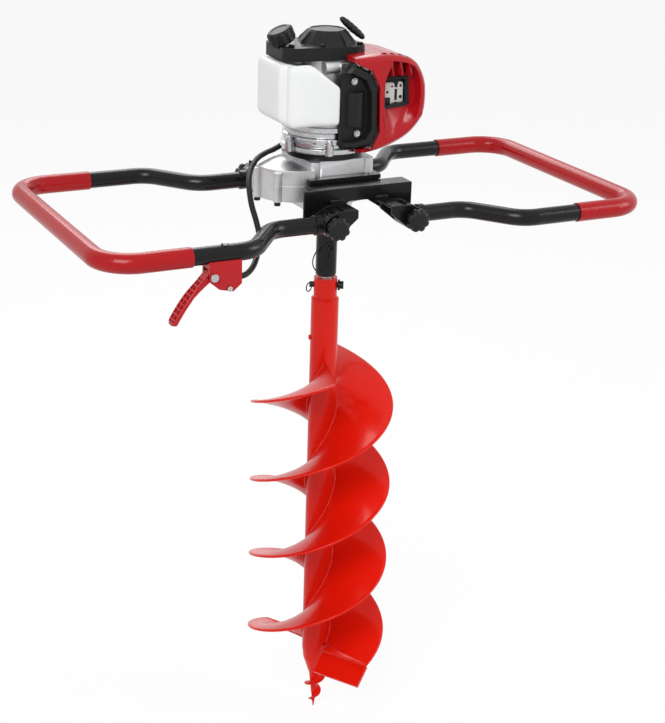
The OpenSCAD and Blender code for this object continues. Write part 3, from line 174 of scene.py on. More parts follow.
paintSet = {
    "redPaint": dict(colour=(0.66, 0.009, 0.002), worn=(0.36, 0.02, 0.012), rough=0.24, grain=0.10,
                     bump=0.00012, scale=420, radius=0.0007, coat=0.16, wear=0.35, shine=0.12),
    "redGrip": dict(colour=(0.36, 0.004, 0.007), worn=(0.34, 0.015, 0.018), rough=0.26, grain=0.06,
                    bump=0.00005, scale=900, radius=0.0008, coat=0.2, wear=0.2, shine=0.14),
    "redPlastic": dict(colour=(0.38, 0.004, 0.009), worn=(0.5, 0.04, 0.04), rough=0.22, grain=0.05,
                       bump=0.00005, scale=300, radius=0.0012, coat=0.28, wear=0.15, shine=0.16),
    "redDull": dict(colour=(0.40, 0.006, 0.010), worn=(0.5, 0.03, 0.03), rough=0.34, grain=0.08,
                    bump=0.00006, scale=500, radius=0.0008, coat=0.08, wear=0.25, shine=0.25),
    "blackPaint": dict(colour=(0.005, 0.005, 0.0055), worn=(0.03, 0.03, 0.032), rough=0.24, grain=0.14,
                       bump=0.00025, scale=260, radius=0.0009, coat=0.06, wear=0.45, shine=0.2),
    "blackPlastic": dict(colour=(0.008, 0.008, 0.0085), worn=(0.035, 0.035, 0.038), rough=0.42, grain=0.10,
                         bump=0.00012, scale=1300, radius=0.0010, coat=0.0, wear=0.5, shine=0.22),
    "rubberSheath": dict(colour=(0.006, 0.006, 0.006), worn=(0.02, 0.02, 0.02), rough=0.45, grain=0.10,
                         bump=0.0001, scale=800, radius=0.0004, coat=0.0, wear=0.2, shine=0.2),
    "paleCast": dict(colour=(0.66, 0.655, 0.64), worn=(0.8, 0.8, 0.8), rough=0.28, grain=0.12,
                     bump=0.00015, scale=420, radius=0.0008, coat=0.0, wear=0.3),
    "tankWhite": dict(colour=(0.75, 0.76, 0.76), worn=(0.66, 0.67, 0.67), rough=0.38, grain=0.06,
                      bump=0.00008, scale=240, radius=0.0022, coat=0.05, wear=0.2, shine=0.3),
    "bulbSilicone": dict(colour=(0.55, 0.53, 0.46), worn=(0.6, 0.58, 0.5), rough=0.3, grain=0.05,
                         bump=0.00005, scale=300, radius=0.0008, coat=0.2, wear=0.1),
    "ropeYarn": dict(colour=(0.7, 0.7, 0.66), worn=(0.5, 0.5, 0.47), rough=0.8, grain=0.12,
                     bump=0.0003, scale=1500, radius=0.0003, coat=0.0, wear=0.1),
}


# paint or plastic: colour drifts slowly, edges wear to a second colour, and a fine grain breaks the gloss
def paintSurface(name, s):
    mat, shader, where = newSurface(name)
    soft, edge = edges(where, s["radius"])
    drift = noise(where, 9.0, 2.0)
    patch = noise(where, 70.0, 4.0)
    fine = noise(where, s["scale"], 3.0)
    worn = edge * patch.step(0.40, 0.62) * s["wear"]
    base = blendColour(where, drift, rgba(s["colour"], 0.92), rgba(s["colour"], 1.08))
    colour = blendColour(where, worn, base, rgba(s["worn"]))
    rough = (patch - 0.5) * s["grain"] + (fine - 0.5) * s["grain"] + s["rough"] + worn * 0.2
    feedShader(shader, where, s, colour, rough, fine, soft)
    shader.inputs["Coat Weight"].default_value = s["coat"]
    shader.inputs["Coat Roughness"].default_value = 0.12
    shader.inputs["Specular IOR Level"].default_value = s.get("shine", 0.5)
    return mat


metalSet = {
    "castAlloy": dict(colour=(0.61, 0.615, 0.625), dark=(0.45, 0.455, 0.465), rough=0.40, grain=0.16,
                      bump=0.0003, scale=900, radius=0.0011),
    "polishedAlloy": dict(colour=(0.56, 0.565, 0.58), dark=(0.38, 0.385, 0.395), rough=0.17, grain=0.10,
                          bump=0.0001, scale=300, radius=0.0008),
    "steel": dict(colour=(0.52, 0.525, 0.54), dark=(0.38, 0.38, 0.39), rough=0.24, grain=0.12,
                  bump=0.0001, scale=700, radius=0.0005),
    "screwSteel": dict(colour=(0.55, 0.555, 0.57), dark=(0.4, 0.4, 0.41), rough=0.24, grain=0.12,
                       bump=0.0001, scale=700, radius=0.0005, blackAbove=0.985),
    "darkSteel": dict(colour=(0.03, 0.03, 0.032), dark=(0.012, 0.012, 0.012), rough=0.3, grain=0.12,
                      bump=0.00012, scale=500, radius=0.0005),
}


# metal: a cast or machined grain, darker in its hollows and brighter along its edges
def metalSurface(name, s):
    mat, shader, where = newSurface(name)
    soft, edge = edges(where, s["radius"])
    drift = noise(where, 26.0, 4.0)
    fine = noise(where, s["scale"], 5.0, 0.62)
    base = blendColour(where, (drift * 0.6 + fine * 0.4).step(0.34, 0.60), rgba(s["dark"]), rgba(s["colour"]))
    colour = blendColour(where, edge * 0.5, base, rgba(s["colour"], 1.1))
    rough = (drift - 0.5) * s["grain"] + (fine - 0.5) * s["grain"] + s["rough"] - edge * 0.06
    if "blackAbove" in s:
        # screws above this height are blackened
        height = where.node("ShaderNodeSeparateXYZ", {}, {0: where}, out=2)
        high = height.step(s["blackAbove"] - 0.001, s["blackAbove"])
        colour = blendColour(where, high, colour, (0.012, 0.012, 0.012, 1.0))
        rough = rough + high * 0.2
    feedShader(shader, where, s, colour, rough, fine, soft)
    shader.inputs["Metallic"].default_value = 1.0
    return mat


finishes = {name: paintSurface(name, s) for name, s in paintSet.items()}
finishes.update({name: metalSurface(name, s) for name, s in metalSet.items()})
print("stage 2:", len(finishes), "finishes")

finishOf = {
    "redPaint": "bit_tube bit_flight_a bit_flight_b cutter_blades pilot_screw",
    "redGrip": "left_grip right_grip",
    "redPlastic": "engine_cover",
    "redDull": "throttle_housing throttle_lever",
    "blackPaint": "frame_front_beam frame_rear_beam base_plate clamp_brackets left_handle_tube "
                  "right_handle_tube drive_sleeve",
    "darkSteel": "adapter_ring pivot_bolts frame_bolts case_screws pin_lanyard locking_pin",
    "blackPlastic": "engine_shroud recoil_housing fuel_cap starter_grip starter_reel air_cleaner choke_lever "
                    "knob_left_front knob_left_rear knob_right_front knob_right_rear output_seal",
    "castAlloy": "gear_case gear_case_cover crankcase engine_cylinder carburettor",
    "polishedAlloy": "clutch_housing",
    "steel": "gearbox_bearings crank_bearings spark_plug output_shaft output_gear "
             "layshaft layshaft_gear clutch_drum input_pinion crankshaft flywheel clutch_shoes "
             "throttle_screws",
    "screwSteel": "engine_screws",
    "paleCast": "muffler",
    "tankWhite": "fuel_tank",
    "rubberSheath": "throttle_cable",
    "ropeYarn": "starter_rope",
    "bulbSilicone": "primer_bulb",
}
for finish, names in finishOf.items():
    for name in names.split():
        mesh = nodes[name].data
        mesh.materials.clear()
        mesh.materials.append(finishes[finish])

bodyOf = {node: body for body, names in frame["record"]["behaviour"]["bodies"].items() for node in names}
mm = 0.001
engineX = -8.125  # the engine's axis, in millimetres from the bit's


# a grid of points becomes quads: rows run along the piece and columns go round it, and fans close both ends
# unless the rows run round too
def gridPart(points, loopRows=False):
    rows, cols = points.shape[:2]
    i = np.arange(rows if loopRows else rows - 1)[:, None]
    j = np.arange(cols)[None, :]
    nextI = (i + 1) % rows
    nextJ = (j + 1) % cols
    quads = np.stack([i * cols + j, i * cols + nextJ, nextI * cols + nextJ, nextI * cols + j], -1)
    verts = points.reshape(-1, 3)
    faces = quads.reshape(-1, 4).tolist()
    if not loopRows:
        k = np.arange(cols)
        ends = np.stack([points[0].mean(0), points[-1].mean(0)])
        base = len(verts)
        rim = (rows - 1) * cols
        first = np.stack([np.full(cols, base), (k + 1) % cols, k], -1)
        last = np.stack([np.full(cols, base + 1), rim + k, rim + (k + 1) % cols], -1)
        verts = np.concatenate([verts, ends])
        faces += first.tolist() + last.tolist()
    tris = np.array([f[:3] for f in faces] + [(f[0], f[2], f[3]) for f in faces if len(f) == 4])
    a, b, c = verts[tris[:, 0]], verts[tris[:, 1]], verts[tris[:, 2]]
    if np.einsum("ij,ij->i", a, np.cross(b, c)).sum() < 0:
        faces = [f[::-1] for f in faces]
    return verts, faces


# parts in millimetres become one piece that rides on a body
def addPiece(name, parts, finish, body, stands=(), sharp=40):
    verts, faces, base = [], [], 0
    for v, f in parts:
        verts.append(v)
        faces += [[k + base for k in face] for face in f]
        base += len(v)
    mesh = bpy.data.meshes.new(name)
    mesh.from_pydata((np.concatenate(verts) * mm).tolist(), [], faces)
    mesh.shade_smooth()
    mesh.set_sharp_from_angle(angle=math.radians(sharp))
    mesh.materials.append(finishes[finish])
    made = bpy.data.objects.new(name, mesh)
    scene.collection.objects.link(made)
    if body:
        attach(made, body)
    if stands:
        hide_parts(*stands)
    return made


# points on a smooth path through a few given ones: a cubic between each two, shaped by their neighbours
def smoothPath(points, count):
    p = np.array(points, float)
    p = np.concatenate([2 * p[:1] - p[1:2], p, 2 * p[-1:] - p[-2:-1]])
    at = np.linspace(0, len(p) - 3, count)
    k = np.minimum(at.astype(int), len(p) - 4)
    t = (at - k)[:, None]
    a, b, c, d = p[k], p[k + 1], p[k + 2], p[k + 3]
    square = 2 * a - 5 * b + 4 * c - d
    cube = 3 * b - a - 3 * c + d
    return 0.5 * (2 * b + (c - a) * t + square * t ** 2 + cube * t ** 3)


# a closed outline: given corners, rounded by repeated corner cutting, then spaced evenly
def roundOutline(corners, count, passes=3, share=0.25):
    p = np.array(corners, float)
    for _ in range(passes):
        q = np.roll(p, -1, 0)
        p = np.stack([p + (q - p) * share, p + (q - p) * (1 - share)], 1).reshape(-1, 2)
    q = np.concatenate([p, p[:1]])
    run = np.concatenate([[0], np.cumsum(np.linalg.norm(np.diff(q, axis=0), axis=1))])
    at = np.linspace(0, run[-1], count, endpoint=False)
    return np.stack([np.interp(at, run, q[:, 0]), np.interp(at, run, q[:, 1])], -1)


# a tube: circles of radius(s) carried square to a path
def tubeAlong(path, radius, sides=12):
    p = np.array(path, float)
    t = np.gradient(p, axis=0)
    t /= np.linalg.norm(t, axis=1)[:, None]
    ref = np.where(np.abs(t[:, 2:3]) < 0.85, np.array([[0.0, 0.0, 1.0]]), np.array([[0.0, 1.0, 0.0]]))
    u = np.cross(t, ref)
    u /= np.linalg.norm(u, axis=1)[:, None]
    w = np.cross(t, u)
    a = np.linspace(0, 2 * np.pi, sides, endpoint=False)[None, :, None]
    r = np.broadcast_to(np.asarray(radius, float), (len(p),))[:, None, None]
    return p[:, None, :] + r * (np.cos(a) * u[:, None, :] + np.sin(a) * w[:, None, :])


# axes of a tilted frame: local points (n, 3) to the model
def placeIn(local, foot, axisX, axisZ):
    z = np.array(axisZ, float) / np.linalg.norm(axisZ)
    x = np.array(axisX, float)
    x = x - z * (x @ z)
    x /= np.linalg.norm(x)
    y = np.cross(z, x)
    return np.array(foot) + local[..., 0:1] * x + local[..., 1:2] * y + local[..., 2:3] * z


def noRipple(a):
    return 0 * a


# a turned shape: rows of radius and height; a third number says how much of ripple(angle) the radius takes on
def turned(profile, ripple, foot, axisX, axisZ, sides=144):
    p = np.array(profile, float)
    a = np.linspace(0, 2 * np.pi, sides, endpoint=False)
    r = p[:, 0:1] + ripple(a)[None, :] * (p[:, 2:3] if p.shape[1] > 2 else 0)
    local = np.stack([r * np.cos(a), r * np.sin(a), np.broadcast_to(p[:, 1:2], r.shape)], -1)
    return gridPart(placeIn(local, foot, axisX, axisZ))


flightSet = dict(inner=19.02, outer=100.0, thick=4.0, lead=237.0, length=448.0, z0=110.5, start=-67.0,
                 rows=260, wave=0.5)


# flight: a rounded plate section swept along a helix, with a slight wave towards its rim
def flightPart(s, start):
    t = s["thick"] / 2
    half = [s["inner"], 40, 62, 82, 95, 98.4, 99.5, s["outer"]]
    r = np.array(half + half[::-1])
    dz = np.array([-t, -t, -t, -t, -t, -t, -t * 0.72, -t * 0.3, t * 0.3, t * 0.72, t, t, t, t, t, t])
    run = np.linspace(0, 1, s["rows"])[:, None]
    a = math.radians(start) + 2 * np.pi * s["length"] / s["lead"] * run
    lift = s["wave"] * np.sin(3.1 * a + 0.4 * start) * ((r - 19) / 81) ** 2 * np.sin(np.pi * run) ** 0.5
    z = s["z0"] + s["length"] * run + dz + lift
    return gridPart(np.stack([r * np.cos(a), r * np.sin(a), z], -1))


beadSet = dict(size=2.5, ripple=0.16, pitch=4.2, rows=820)


# weld: a rippled bead laid in the corner between flight and tube
def beadPart(s, f, start, side):
    run = np.linspace(0.004, 0.996, s["rows"])
    a = math.radians(start) + 2 * np.pi * f["length"] / f["lead"] * run
    path = np.hypot(2 * np.pi * 21 * f["length"] / f["lead"], f["length"]) * run
    swell = 1 + s["ripple"] * np.abs(np.sin(np.pi * path / s["pitch"])) + 0.10 * np.sin(path * 0.31 + start)
    size = s["size"] * swell * (1.0 if side > 0 else 0.8)
    r = f["inner"] + 1.0
    z = f["z0"] + f["length"] * run + side * (f["thick"] / 2 + 0.9)
    line = np.stack([r * np.cos(a), r * np.sin(a), z], -1)
    return gridPart(tubeAlong(line, size, 9))


for name, start in (("bit_flight_b", flightSet["start"]), ("bit_flight_a", flightSet["start"] + 180)):
    addPiece("flight_" + name[-1], [flightPart(flightSet, start)], "redPaint", "auger", (name,),
             50)
addPiece("flight_welds", [beadPart(beadSet, flightSet, flightSet["start"] + turn, side)
                          for turn in (0, 180) for side in (1, -1)], "redPaint", "auger", (), 80)


bladeSet = dict(outer=99.0, length=74.0, skew=9.0, z=109.4, size=2.1, pitch=3.6, rows=160)


# blade weld: a bead from the rim inwards along each blade's upper edge, which is skewed by an angle
def bladeWeld(s, start):
    out = math.radians(start)
    inward = math.radians(start + s["skew"] + 180)
    run = np.linspace(0.5, s["length"] - 0.5, s["rows"])
    line = np.stack([s["outer"] * math.cos(out) + run * math.cos(inward),
                     s["outer"] * math.sin(out) + run * math.sin(inward),
                     s["z"] + 0.3 * np.sin(run * 0.4)], -1)
    swell = 0.85 + 0.22 * np.abs(np.sin(np.pi * run / s["pitch"])) + 0.08 * np.sin(run * 0.9)
    return gridPart(tubeAlong(line, s["size"] * swell, 10))


addPiece("blade_welds", [bladeWeld(bladeSet, flightSet["start"] + turn) for turn in (0, 180)], "redPaint",
         "auger", (), 80)
print("stage 3: flights and welds")

tankSet = dict(foot=903, height=79.4, top=982.4, columns=320, soft=2.6)


# tank: a moulded shell; each level is the same soft outline, drawn in at the foot and the shoulders
def tankPart(s):
    plan = roundOutline([(-10, -57), (-10, -64), (-18, -64), (-64, -64), (-74, -64), (-79.5, -61), (-81, -56),
                         (-80, -51.5), (-82.5, -49.5), (-87, -48.5), (-89, -45), (-89, -36), (-89, 12),
                         (-89, 21), (-80, 21), (-50, 21), (-38, 10), (-38, -12), (-30, -32), (-16, -38),
                         (-10, -42)],
                        s["columns"], 2, 0.25)
    middle = np.array([-48.0, -28.0])
    # level and inset of each ring
    rows = np.array([(903.2, 12), (903.0, 7), (904.2, 3.0), (907, 0.9), (911, 0.1), (920, 0), (935, 0),
                     (950, 0), (962, 0), (972, 0), (977, 0.5), (980.2, 2.0), (981.8, 4.5), (982.4, 9)])
    out = plan - middle
    reach = np.linalg.norm(out, axis=1)[:, None]
    ring = [middle + out * (1 - inset / reach) for inset in rows[:, 1]]
    xy = np.stack(ring)
    z = np.broadcast_to(rows[:, 0:1], xy.shape[:2]).copy()
    x = xy[..., 0]
    # the foot rises to the left, and the right shoulder slopes down
    rise = np.clip((-73 - x) / 16, 0, 1)
    z += 8 * rise ** 1.3 * np.clip((925 - z) / 22, 0, 1)
    slope = 954.0 + (-10 - plan[:, 0]) * 28.9 / 38
    # a soft minimum of the slope and the flat top
    soft, flat = s["soft"], s["top"]
    low = np.minimum(slope, flat)
    top = low - soft * np.log(np.exp((low - slope) / soft) + np.exp((low - flat) / soft))
    z = s["foot"] + (z - s["foot"]) * (top[None, :] - s["foot"]) / s["height"]
    return gridPart(np.concatenate([xy, z[..., None]], -1) + np.array([engineX, 0, 0]))


capSet = dict(foot=(engineX - 52, -4, 978.5), tilt=25.0, start=27.0, radius=17.5, ribs=11)


# cap: a turned shape with ribs round its rim
def capPart(s):
    tilt = math.radians(s["tilt"])
    axis = (-math.sin(tilt), 0, math.cos(tilt))
    r, t = s["radius"], s["start"]
    ripple = lambda a: np.clip(np.cos(s["ribs"] * a) * 1.6, -1, 1)
    profile = [(12.1, t + 0.2, 0), (r - 2.6, t, 0), (r - 1.8, t + 0.8, 0.3), (r - 1.2, t + 2, 1.15),
               (r - 1.2, t + 9, 1.15), (r - 1.2, t + 14.5, 1.15), (r - 1.9, t + 16.3, 0.7),
               (r - 3.0, t + 17.5, 0.1), (r - 4.6, t + 18, 0), (r - 6.4, t + 17.9, 0), (r - 7.0, t + 17.2, 0),
               (r - 9, t + 17.1, 0), (2, t + 17.3, 0)]
    return turned(profile, ripple, s["foot"], (0, 1, 0), axis)


tilt = math.radians(capSet["tilt"])
neck = turned([(10, -8), (12, -8), (12, 30), (11.4, 37), (9.2, 38)], noRipple, capSet["foot"], (0, 1, 0),
              (-math.sin(tilt), 0, math.cos(tilt)), 64)
addPiece("tank_shell", [tankPart(tankSet), neck], "tankWhite", "frame", ("fuel_tank",), 75)
addPiece("cap_ribbed", [capPart(capSet)], "blackPlastic", "fuel_cap", ("fuel_cap",), 35)
print("stage 4: tank and cap")

gripSet = dict(length=42.0, radius=6.2, grooves=6, foot=(27.5, 0, 1011.4), turn=-20.0, tilt=40.0)


# starter grip: a ribbed barrel across the rope, on a short stem
def starterParts(s):
    turn, tilt = math.radians(s["turn"]), math.radians(s["tilt"])
    axis = np.array((math.sin(tilt) * math.cos(turn), math.sin(tilt) * math.sin(turn), math.cos(tilt)))
    across = np.array((math.cos(tilt) * math.cos(turn), math.cos(tilt) * math.sin(turn), -math.sin(tilt)))
    foot = np.array((s["foot"][0] * math.cos(turn) + engineX, s["foot"][0] * math.sin(turn), s["foot"][2]))
    half, r = s["length"] / 2, s["radius"]
    t = np.linspace(-1, 1, 121)
    body = r * (1 - np.abs(t) ** 7) ** 0.5 * (0.86 + 0.14 * np.cos(t * 2.2))
    groove = 0.55 * np.clip(np.cos(np.pi * s["grooves"] * t), 0, 1) ** 3 * (np.abs(t) < 0.74)
    radius = np.maximum(body - groove, 0.3)
    a = np.linspace(0, 2 * np.pi, 40, endpoint=False)
    local = np.stack([radius[:, None] * np.cos(a), 0.82 * radius[:, None] * np.sin(a),
                      np.broadcast_to((half * t)[:, None], (121, 40))], -1)
    bar = gridPart(placeIn(local, foot + axis * 7.5, np.cross(axis, across), across))
    stem = turned([(2.0, 2.5), (4.4, 2.5), (4.6, 3.4), (4.0, 5.0), (4.6, 7.5)], noRipple, foot, across,
                  axis, 32)
    return [bar, stem], foot, axis


starterMade, ropeFoot, ropeAxis = starterParts(gripSet)
addPiece("pull_grip", starterMade, "blackPlastic", "starter_grip", ("starter_grip",), 50)

knobSet = dict(lobes=8, y=135.8, x=57.0, z=792.5)


# knob: a lobed hand wheel with a crowned face and a narrow neck
def knobPart(s, sx, sy):
    ripple = lambda a: np.clip(0.35 + 0.9 * np.cos(s["lobes"] * (a + math.pi / 8)), -0.55, 0.75)
    profile = [(4.1, 0.05, 0), (8.6, 0.05, 0), (9.2, 0.7, 0), (9.2, 3.6, 0), (11.6, 4.1, 0.5),
               (13.4, 4.8, 1.5), (14.0, 6.2, 1.8), (14.0, 11.5, 1.8), (13.5, 13.4, 1.5), (12.3, 14.6, 0.9),
               (10.5, 15.3, 0.4), (7.0, 15.8, 0.1), (3.0, 16.0, 0)]
    return turned(profile, ripple, (sx * s["x"], sy * s["y"], s["z"]), (1, 0, 0), (0, sy, 0), 128)


for sx, side in ((-1, "left"), (1, "right")):
    for sy, end in ((-1, "front"), (1, "rear")):
        node = "knob_%s_%s" % (side, end)
        addPiece("hand_" + node, [knobPart(knobSet, sx, sy)], "blackPlastic", node, (node,),
                 40)

leverSet = dict(pivot=(-247.0, -186.0, 767.5), angle=47.0, length=76.0, half=7.0, flare=2.6, rows=420,
                across=56)


# lever: a curved blade, wider past its hub; its upper face carries a ladder of pockets, two across
def leverParts(s):
    t = np.linspace(0.02, 1, s["rows"])
    length = s["length"]
    top = 7.5 - 0.4 * t - 8.6 * np.clip(t - 0.3, 0, 1) ** 2 * 1.6
    deep = 12.0 - 5.6 * np.clip(t * 2.2, 0, 1)
    tip = (1 - np.clip((t - 0.93) / 0.07, 0, 1) ** 2.2 * 0.92)
    bottom = top - deep * tip
    top = top - deep * (1 - tip) * 0.2
    v = np.linspace(-1, 1, s["across"])
    wide = (s["half"] + s["flare"] * np.clip((t - 0.22) / 0.3, 0, 1)) * (0.45 + 0.55 * tip)
    cell = (t * 11.0) % 1.0
    rung = np.clip(np.minimum(cell - 0.16, 0.86 - cell) / 0.07, 0, 1) * (t > 0.14) * (t < 0.95)
    lane = np.clip(np.minimum(np.abs(v) - 0.10, 0.78 - np.abs(v)) / 0.07, 0, 1)
    pocket = 3.4 * rung[:, None] * lane[None, :]
    edge = 0.9 * np.clip((np.abs(v) - 0.86) / 0.14, 0, 1) ** 2
    upper = top[:, None] - (pocket + edge[None, :]) * tip[:, None]
    lower = bottom[:, None] + 1.6 * tip[:, None] * np.abs(v)[None, ::-1] ** 4
    y = v[None, :] * wide[:, None]
    x = np.broadcast_to(-length * t[:, None], y.shape)
    ring = np.concatenate([np.stack([x, y, upper], -1), np.stack([x, y[:, ::-1], lower], -1)], 1)
    turn = math.radians(s["angle"])
    axisX = (math.cos(turn), 0, math.sin(turn))
    axisZ = (-math.sin(turn), 0, math.cos(turn))
    blade = gridPart(placeIn(ring, s["pivot"], axisX, axisZ))
    hub = turned([(3.05, -s["half"]), (6.9, -s["half"]), (7.4, -s["half"] + 0.6), (7.4, s["half"] - 0.6),
                  (6.9, s["half"]), (3.05, s["half"])], noRipple, s["pivot"], (1, 0, 0), (0, 1, 0), 48)
    return [blade, hub]


addPiece("trigger", leverParts(leverSet), "redDull", "throttle_lever", ("throttle_lever",), 35)
print("stage 5: starter grip, knobs and trigger")

cableSet = dict(points=[(-220, -186, 761.5), (-214, -186, 761.5), (-208, -186, 761.5), (-198, -181, 762),
                        (-185, -168, 764), (-172, -150, 768), (-160, -131, 776), (-151.5, -113, 786.5),
                        (-149, -98, 800), (-147, -78, 817), (-139, -52, 834), (-127, -28, 844),
                        (-113, -8, 849), (-98, 10, 851.5), (-80, 27, 852), (-58, 45, 852), (-38, 58, 856),
                        (-18, 65, 869), (2, 66, 888), (11, 59.5, 905), (20, 56.8, 915.5), (29.3, 56, 919.3)],
                radius=3.66, ripple=0.09, pitch=3.2, rows=1400)


# cable: a conduit with close rings along its whole length
def cablePart(s):
    path = smoothPath(s["points"], s["rows"])
    run = np.concatenate([[0], np.cumsum(np.linalg.norm(np.diff(path, axis=0), axis=1))])
    radius = s["radius"] + s["ripple"] * np.sin(2 * np.pi * run / s["pitch"])
    return gridPart(tubeAlong(path, radius, 14)), path


cableMade, cablePath = cablePart(cableSet)
cable = addPiece("throttle_conduit", [cableMade], "rubberSheath", None, ("throttle_cable",), 80)
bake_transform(cable)
tuple(cablePath[0] * mm)
(cablePath[::7] * mm).tolist() + [(cablePath[-1] * mm).tolist()]

ropeSet = dict(inside=-10, outside=1.45, radius=1.7, lay=0.08, rows=60)


# rope: a short tube along the pull, with a slight ripple in its radius
def ropePart(s):
    along = np.linspace(s["inside"], s["outside"], s["rows"])[:, None]
    radius = s["radius"] + s["lay"] * np.sin(np.linspace(0, 40, s["rows"]))
    return gridPart(tubeAlong(ropeFoot + along * ropeAxis, radius, 12))


rope = addPiece("pull_rope", [ropePart(ropeSet)], "ropeYarn", None, ("starter_rope",), 80)
tuple((ropeFoot - 8 * ropeAxis) * mm)
tuple((ropeFoot + 1.5 * ropeAxis) * mm)
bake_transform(rope)
print("stage 6: cable and rope")

liningSet = dict(corners=[(52, 919.5), (90, 923.5), (88, 961.5), (50, 961.5)], front=-62.5, back=-56.0,
                 inner=0.80)


# window lining: a black ring of four-sided section inside the window of the red cover
def liningPart(s):
    outer = roundOutline(s["corners"], 96, 2, 0.06)
    middle = outer.mean(0)
    outer = middle + (outer - middle) * 0.992
    inner = middle + (outer - middle) * s["inner"]
    loops = [(outer, s["front"]), (outer, s["back"]), (inner, s["back"]), (inner, s["front"] + 1.0)]
    rings = [np.stack([ring[:, 0] + engineX, np.full(len(ring), y), ring[:, 1]], -1) for ring, y in loops]
    return gridPart(np.stack(rings), True)


addPiece("window_lining", [liningPart(liningSet)], "blackPlastic", "frame", (), 30)

ringSet = dict(middle=(-19.4, 11.6, 663.0), radius=6.0, wire=0.8)


# clip ring: a wire circle that hangs through the near end of the locking pin
def ringPart(s):
    a = np.linspace(0, 2 * np.pi, 49)
    r = s["radius"]
    line = np.stack([r * 0.8 * np.cos(a), r * 0.35 * np.cos(a), r * np.sin(a)], -1)
    return gridPart(tubeAlong(np.array(s["middle"]) + line, s["wire"], 8))


addPiece("pin_ring", [ringPart(ringSet)], "darkSteel", "locking_pin", (), 80)

bulbSet = dict(foot=(53.875, 52.05, 915.4), radius=7.5, flange=9.0)


# primer bulb: a soft dome that hangs below the carburettor on a rolled flange
def bulbPart(s):
    r, f = s["radius"], s["flange"]
    a = np.radians(np.linspace(0, 86, 14))
    dome = [(r * math.cos(k), 2.0 + 9.0 * math.sin(k)) for k in a]
    flange = [(3.0, 0.0), (f - 0.5, 0.0), (f, 0.6), (f, 1.5), (f - 0.6, 2.0), (r + 0.5, 2.0)]
    return turned(flange + dome, noRipple, s["foot"], (1, 0, 0), (0, 0, -1), 48)


bulb = addPiece("primer_dome", [bulbPart(bulbSet)], "bulbSilicone", "frame", ("primer_bulb",), 50)
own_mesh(bulb)
print("stage 7: lining, clip ring and primer bulb")

wireSet = dict(points=[(15.2, -92, 720), (15.2, -106, 708), (15.7, -126, 696), (17.4, -152, 690),
                       (20.4, -172, 696), (20.4, -178, 706), (18.4, -164, 718), (15.7, -140, 727),
                       (15.2, -116, 731), (15.2, -96, 728)],
               wire=0.85, eye=3.6, eyeAt=(15.9, -94, 724))


# keeper wire: a thin loop round the sleeve, given as radius, angle and height, with an eye where it is held
def wireParts(s):
    p = np.array(s["points"])
    a = np.radians(p[:, 1])
    path = smoothPath(np.stack([p[:, 0] * np.cos(a), p[:, 0] * np.sin(a), p[:, 2]], -1), 260)
    r, turn, z = s["eyeAt"][0], math.radians(s["eyeAt"][1]), s["eyeAt"][2]
    k = np.linspace(0, 2 * np.pi, 33)
    across = np.array((-math.sin(turn), math.cos(turn), 0))
    middle = np.array((r * math.cos(turn), r * math.sin(turn), z))
    eye = middle + s["eye"] * (np.cos(k)[:, None] * across + np.sin(k)[:, None] * np.array((0, 0, 1.0)))
    return gridPart(tubeAlong(path, s["wire"], 8)), gridPart(tubeAlong(eye, 0.8, 8)), path


wireMade, eyeMade, wirePath = wireParts(wireSet)
keeper = addPiece("keeper_wire", [wireMade], "darkSteel", bodyOf["pin_lanyard"], ("pin_lanyard",),
                  80)
addPiece("keeper_eye", [eyeMade], "darkSteel", bodyOf["pin_lanyard"], (), 80)
tuple(wirePath[0] * mm)
(wirePath[::2] * mm).tolist() + [(wirePath[-1] * mm).tolist()]

windowBackSet = dict(back=-54.1, face=-54.5, front=-56.2, soft=0.7,
                 panel=[(55, 911), (92, 911), (92, 968), (85, 976), (55, 978)],
                 plates=[[(53.5, 921.5), (72, 921.5), (72, 950), (69, 953), (53.5, 953)],
                         [(76, 923), (84.5, 924.5), (84, 953.5), (76, 953.5)],
                         [(71, 943.5), (77, 943.5), (77, 946), (71, 946)],
                         [(71, 926.5), (77, 926.5), (77, 929), (71, 929)]],
                 vents=[[(56.5, 924), (65.5, 924), (65.5, 933.5), (56.5, 933.5)]],
                 studs=[(61.0, 940.5, 1.7), (67.5, 947.5, 1.3), (68.8, 925.0, 1.3), (80.2, 933.5, 2.3),
                        (80.0, 948.0, 1.6)])


# pressed plate: an outline carried from its back to its front, drawn in at the front edge
def platePart(outline, back, front, soft):
    middle = outline.mean(0)
    out = outline - middle
    drawn = middle + out * (1 - soft / np.linalg.norm(out, axis=1)[:, None])
    loops = [(outline, back), (outline, front + soft), (drawn, front)]
    rings = [np.stack([ring[:, 0] + engineX, np.full(len(ring), y), ring[:, 1]], -1) for ring, y in loops]
    return gridPart(np.stack(rings))


# window backing: a dark panel behind window and louvres, painted shade for what shows through their openings,
# with bright pressed plates, dark studs and painted shade patches for vent holes on it
def windowBackParts(s):
    panel = [platePart(roundOutline(s["panel"], 96, 2, 0.1), s["back"], s["face"], 0.2)]
    plates = [platePart(roundOutline(corners, 96, 2, 0.16), s["face"] + 0.05, s["front"], s["soft"])
              for corners in s["plates"]]
    marks = [platePart(roundOutline(corners, 64, 2, 0.1), s["front"] + 0.1, s["front"] - 0.5, 0.3)
             # dark patches where the vent holes are: painted shade of the openings
             for corners in s["vents"]]
    a = np.linspace(0, 2 * np.pi, 32, endpoint=False)
    for x, z, r in s["studs"]:
        disc = np.stack([x + r * np.cos(a), z + r * np.sin(a)], -1)
        marks.append(platePart(disc, s["front"] + 0.1, s["front"] - 0.8, 0.3))
    return panel + marks, plates


shadeAndStuds, shieldBright = windowBackParts(windowBackSet)
# the dark panel and the vent patches are painted shade; the studs are dark steel
addPiece("shade_panel_and_studs", shadeAndStuds, "darkSteel", "frame", (), 40)
addPiece("shield_plates", shieldBright, "paleCast", "frame", (), 40)

boltSet = dict(shroud=[(8.0, 959.5), (14.0, 891.5)], face=-66.0, ring=61.0, angles=(60, 120, 195, 250),
               top=881.5, radius=3.7, height=2.4)


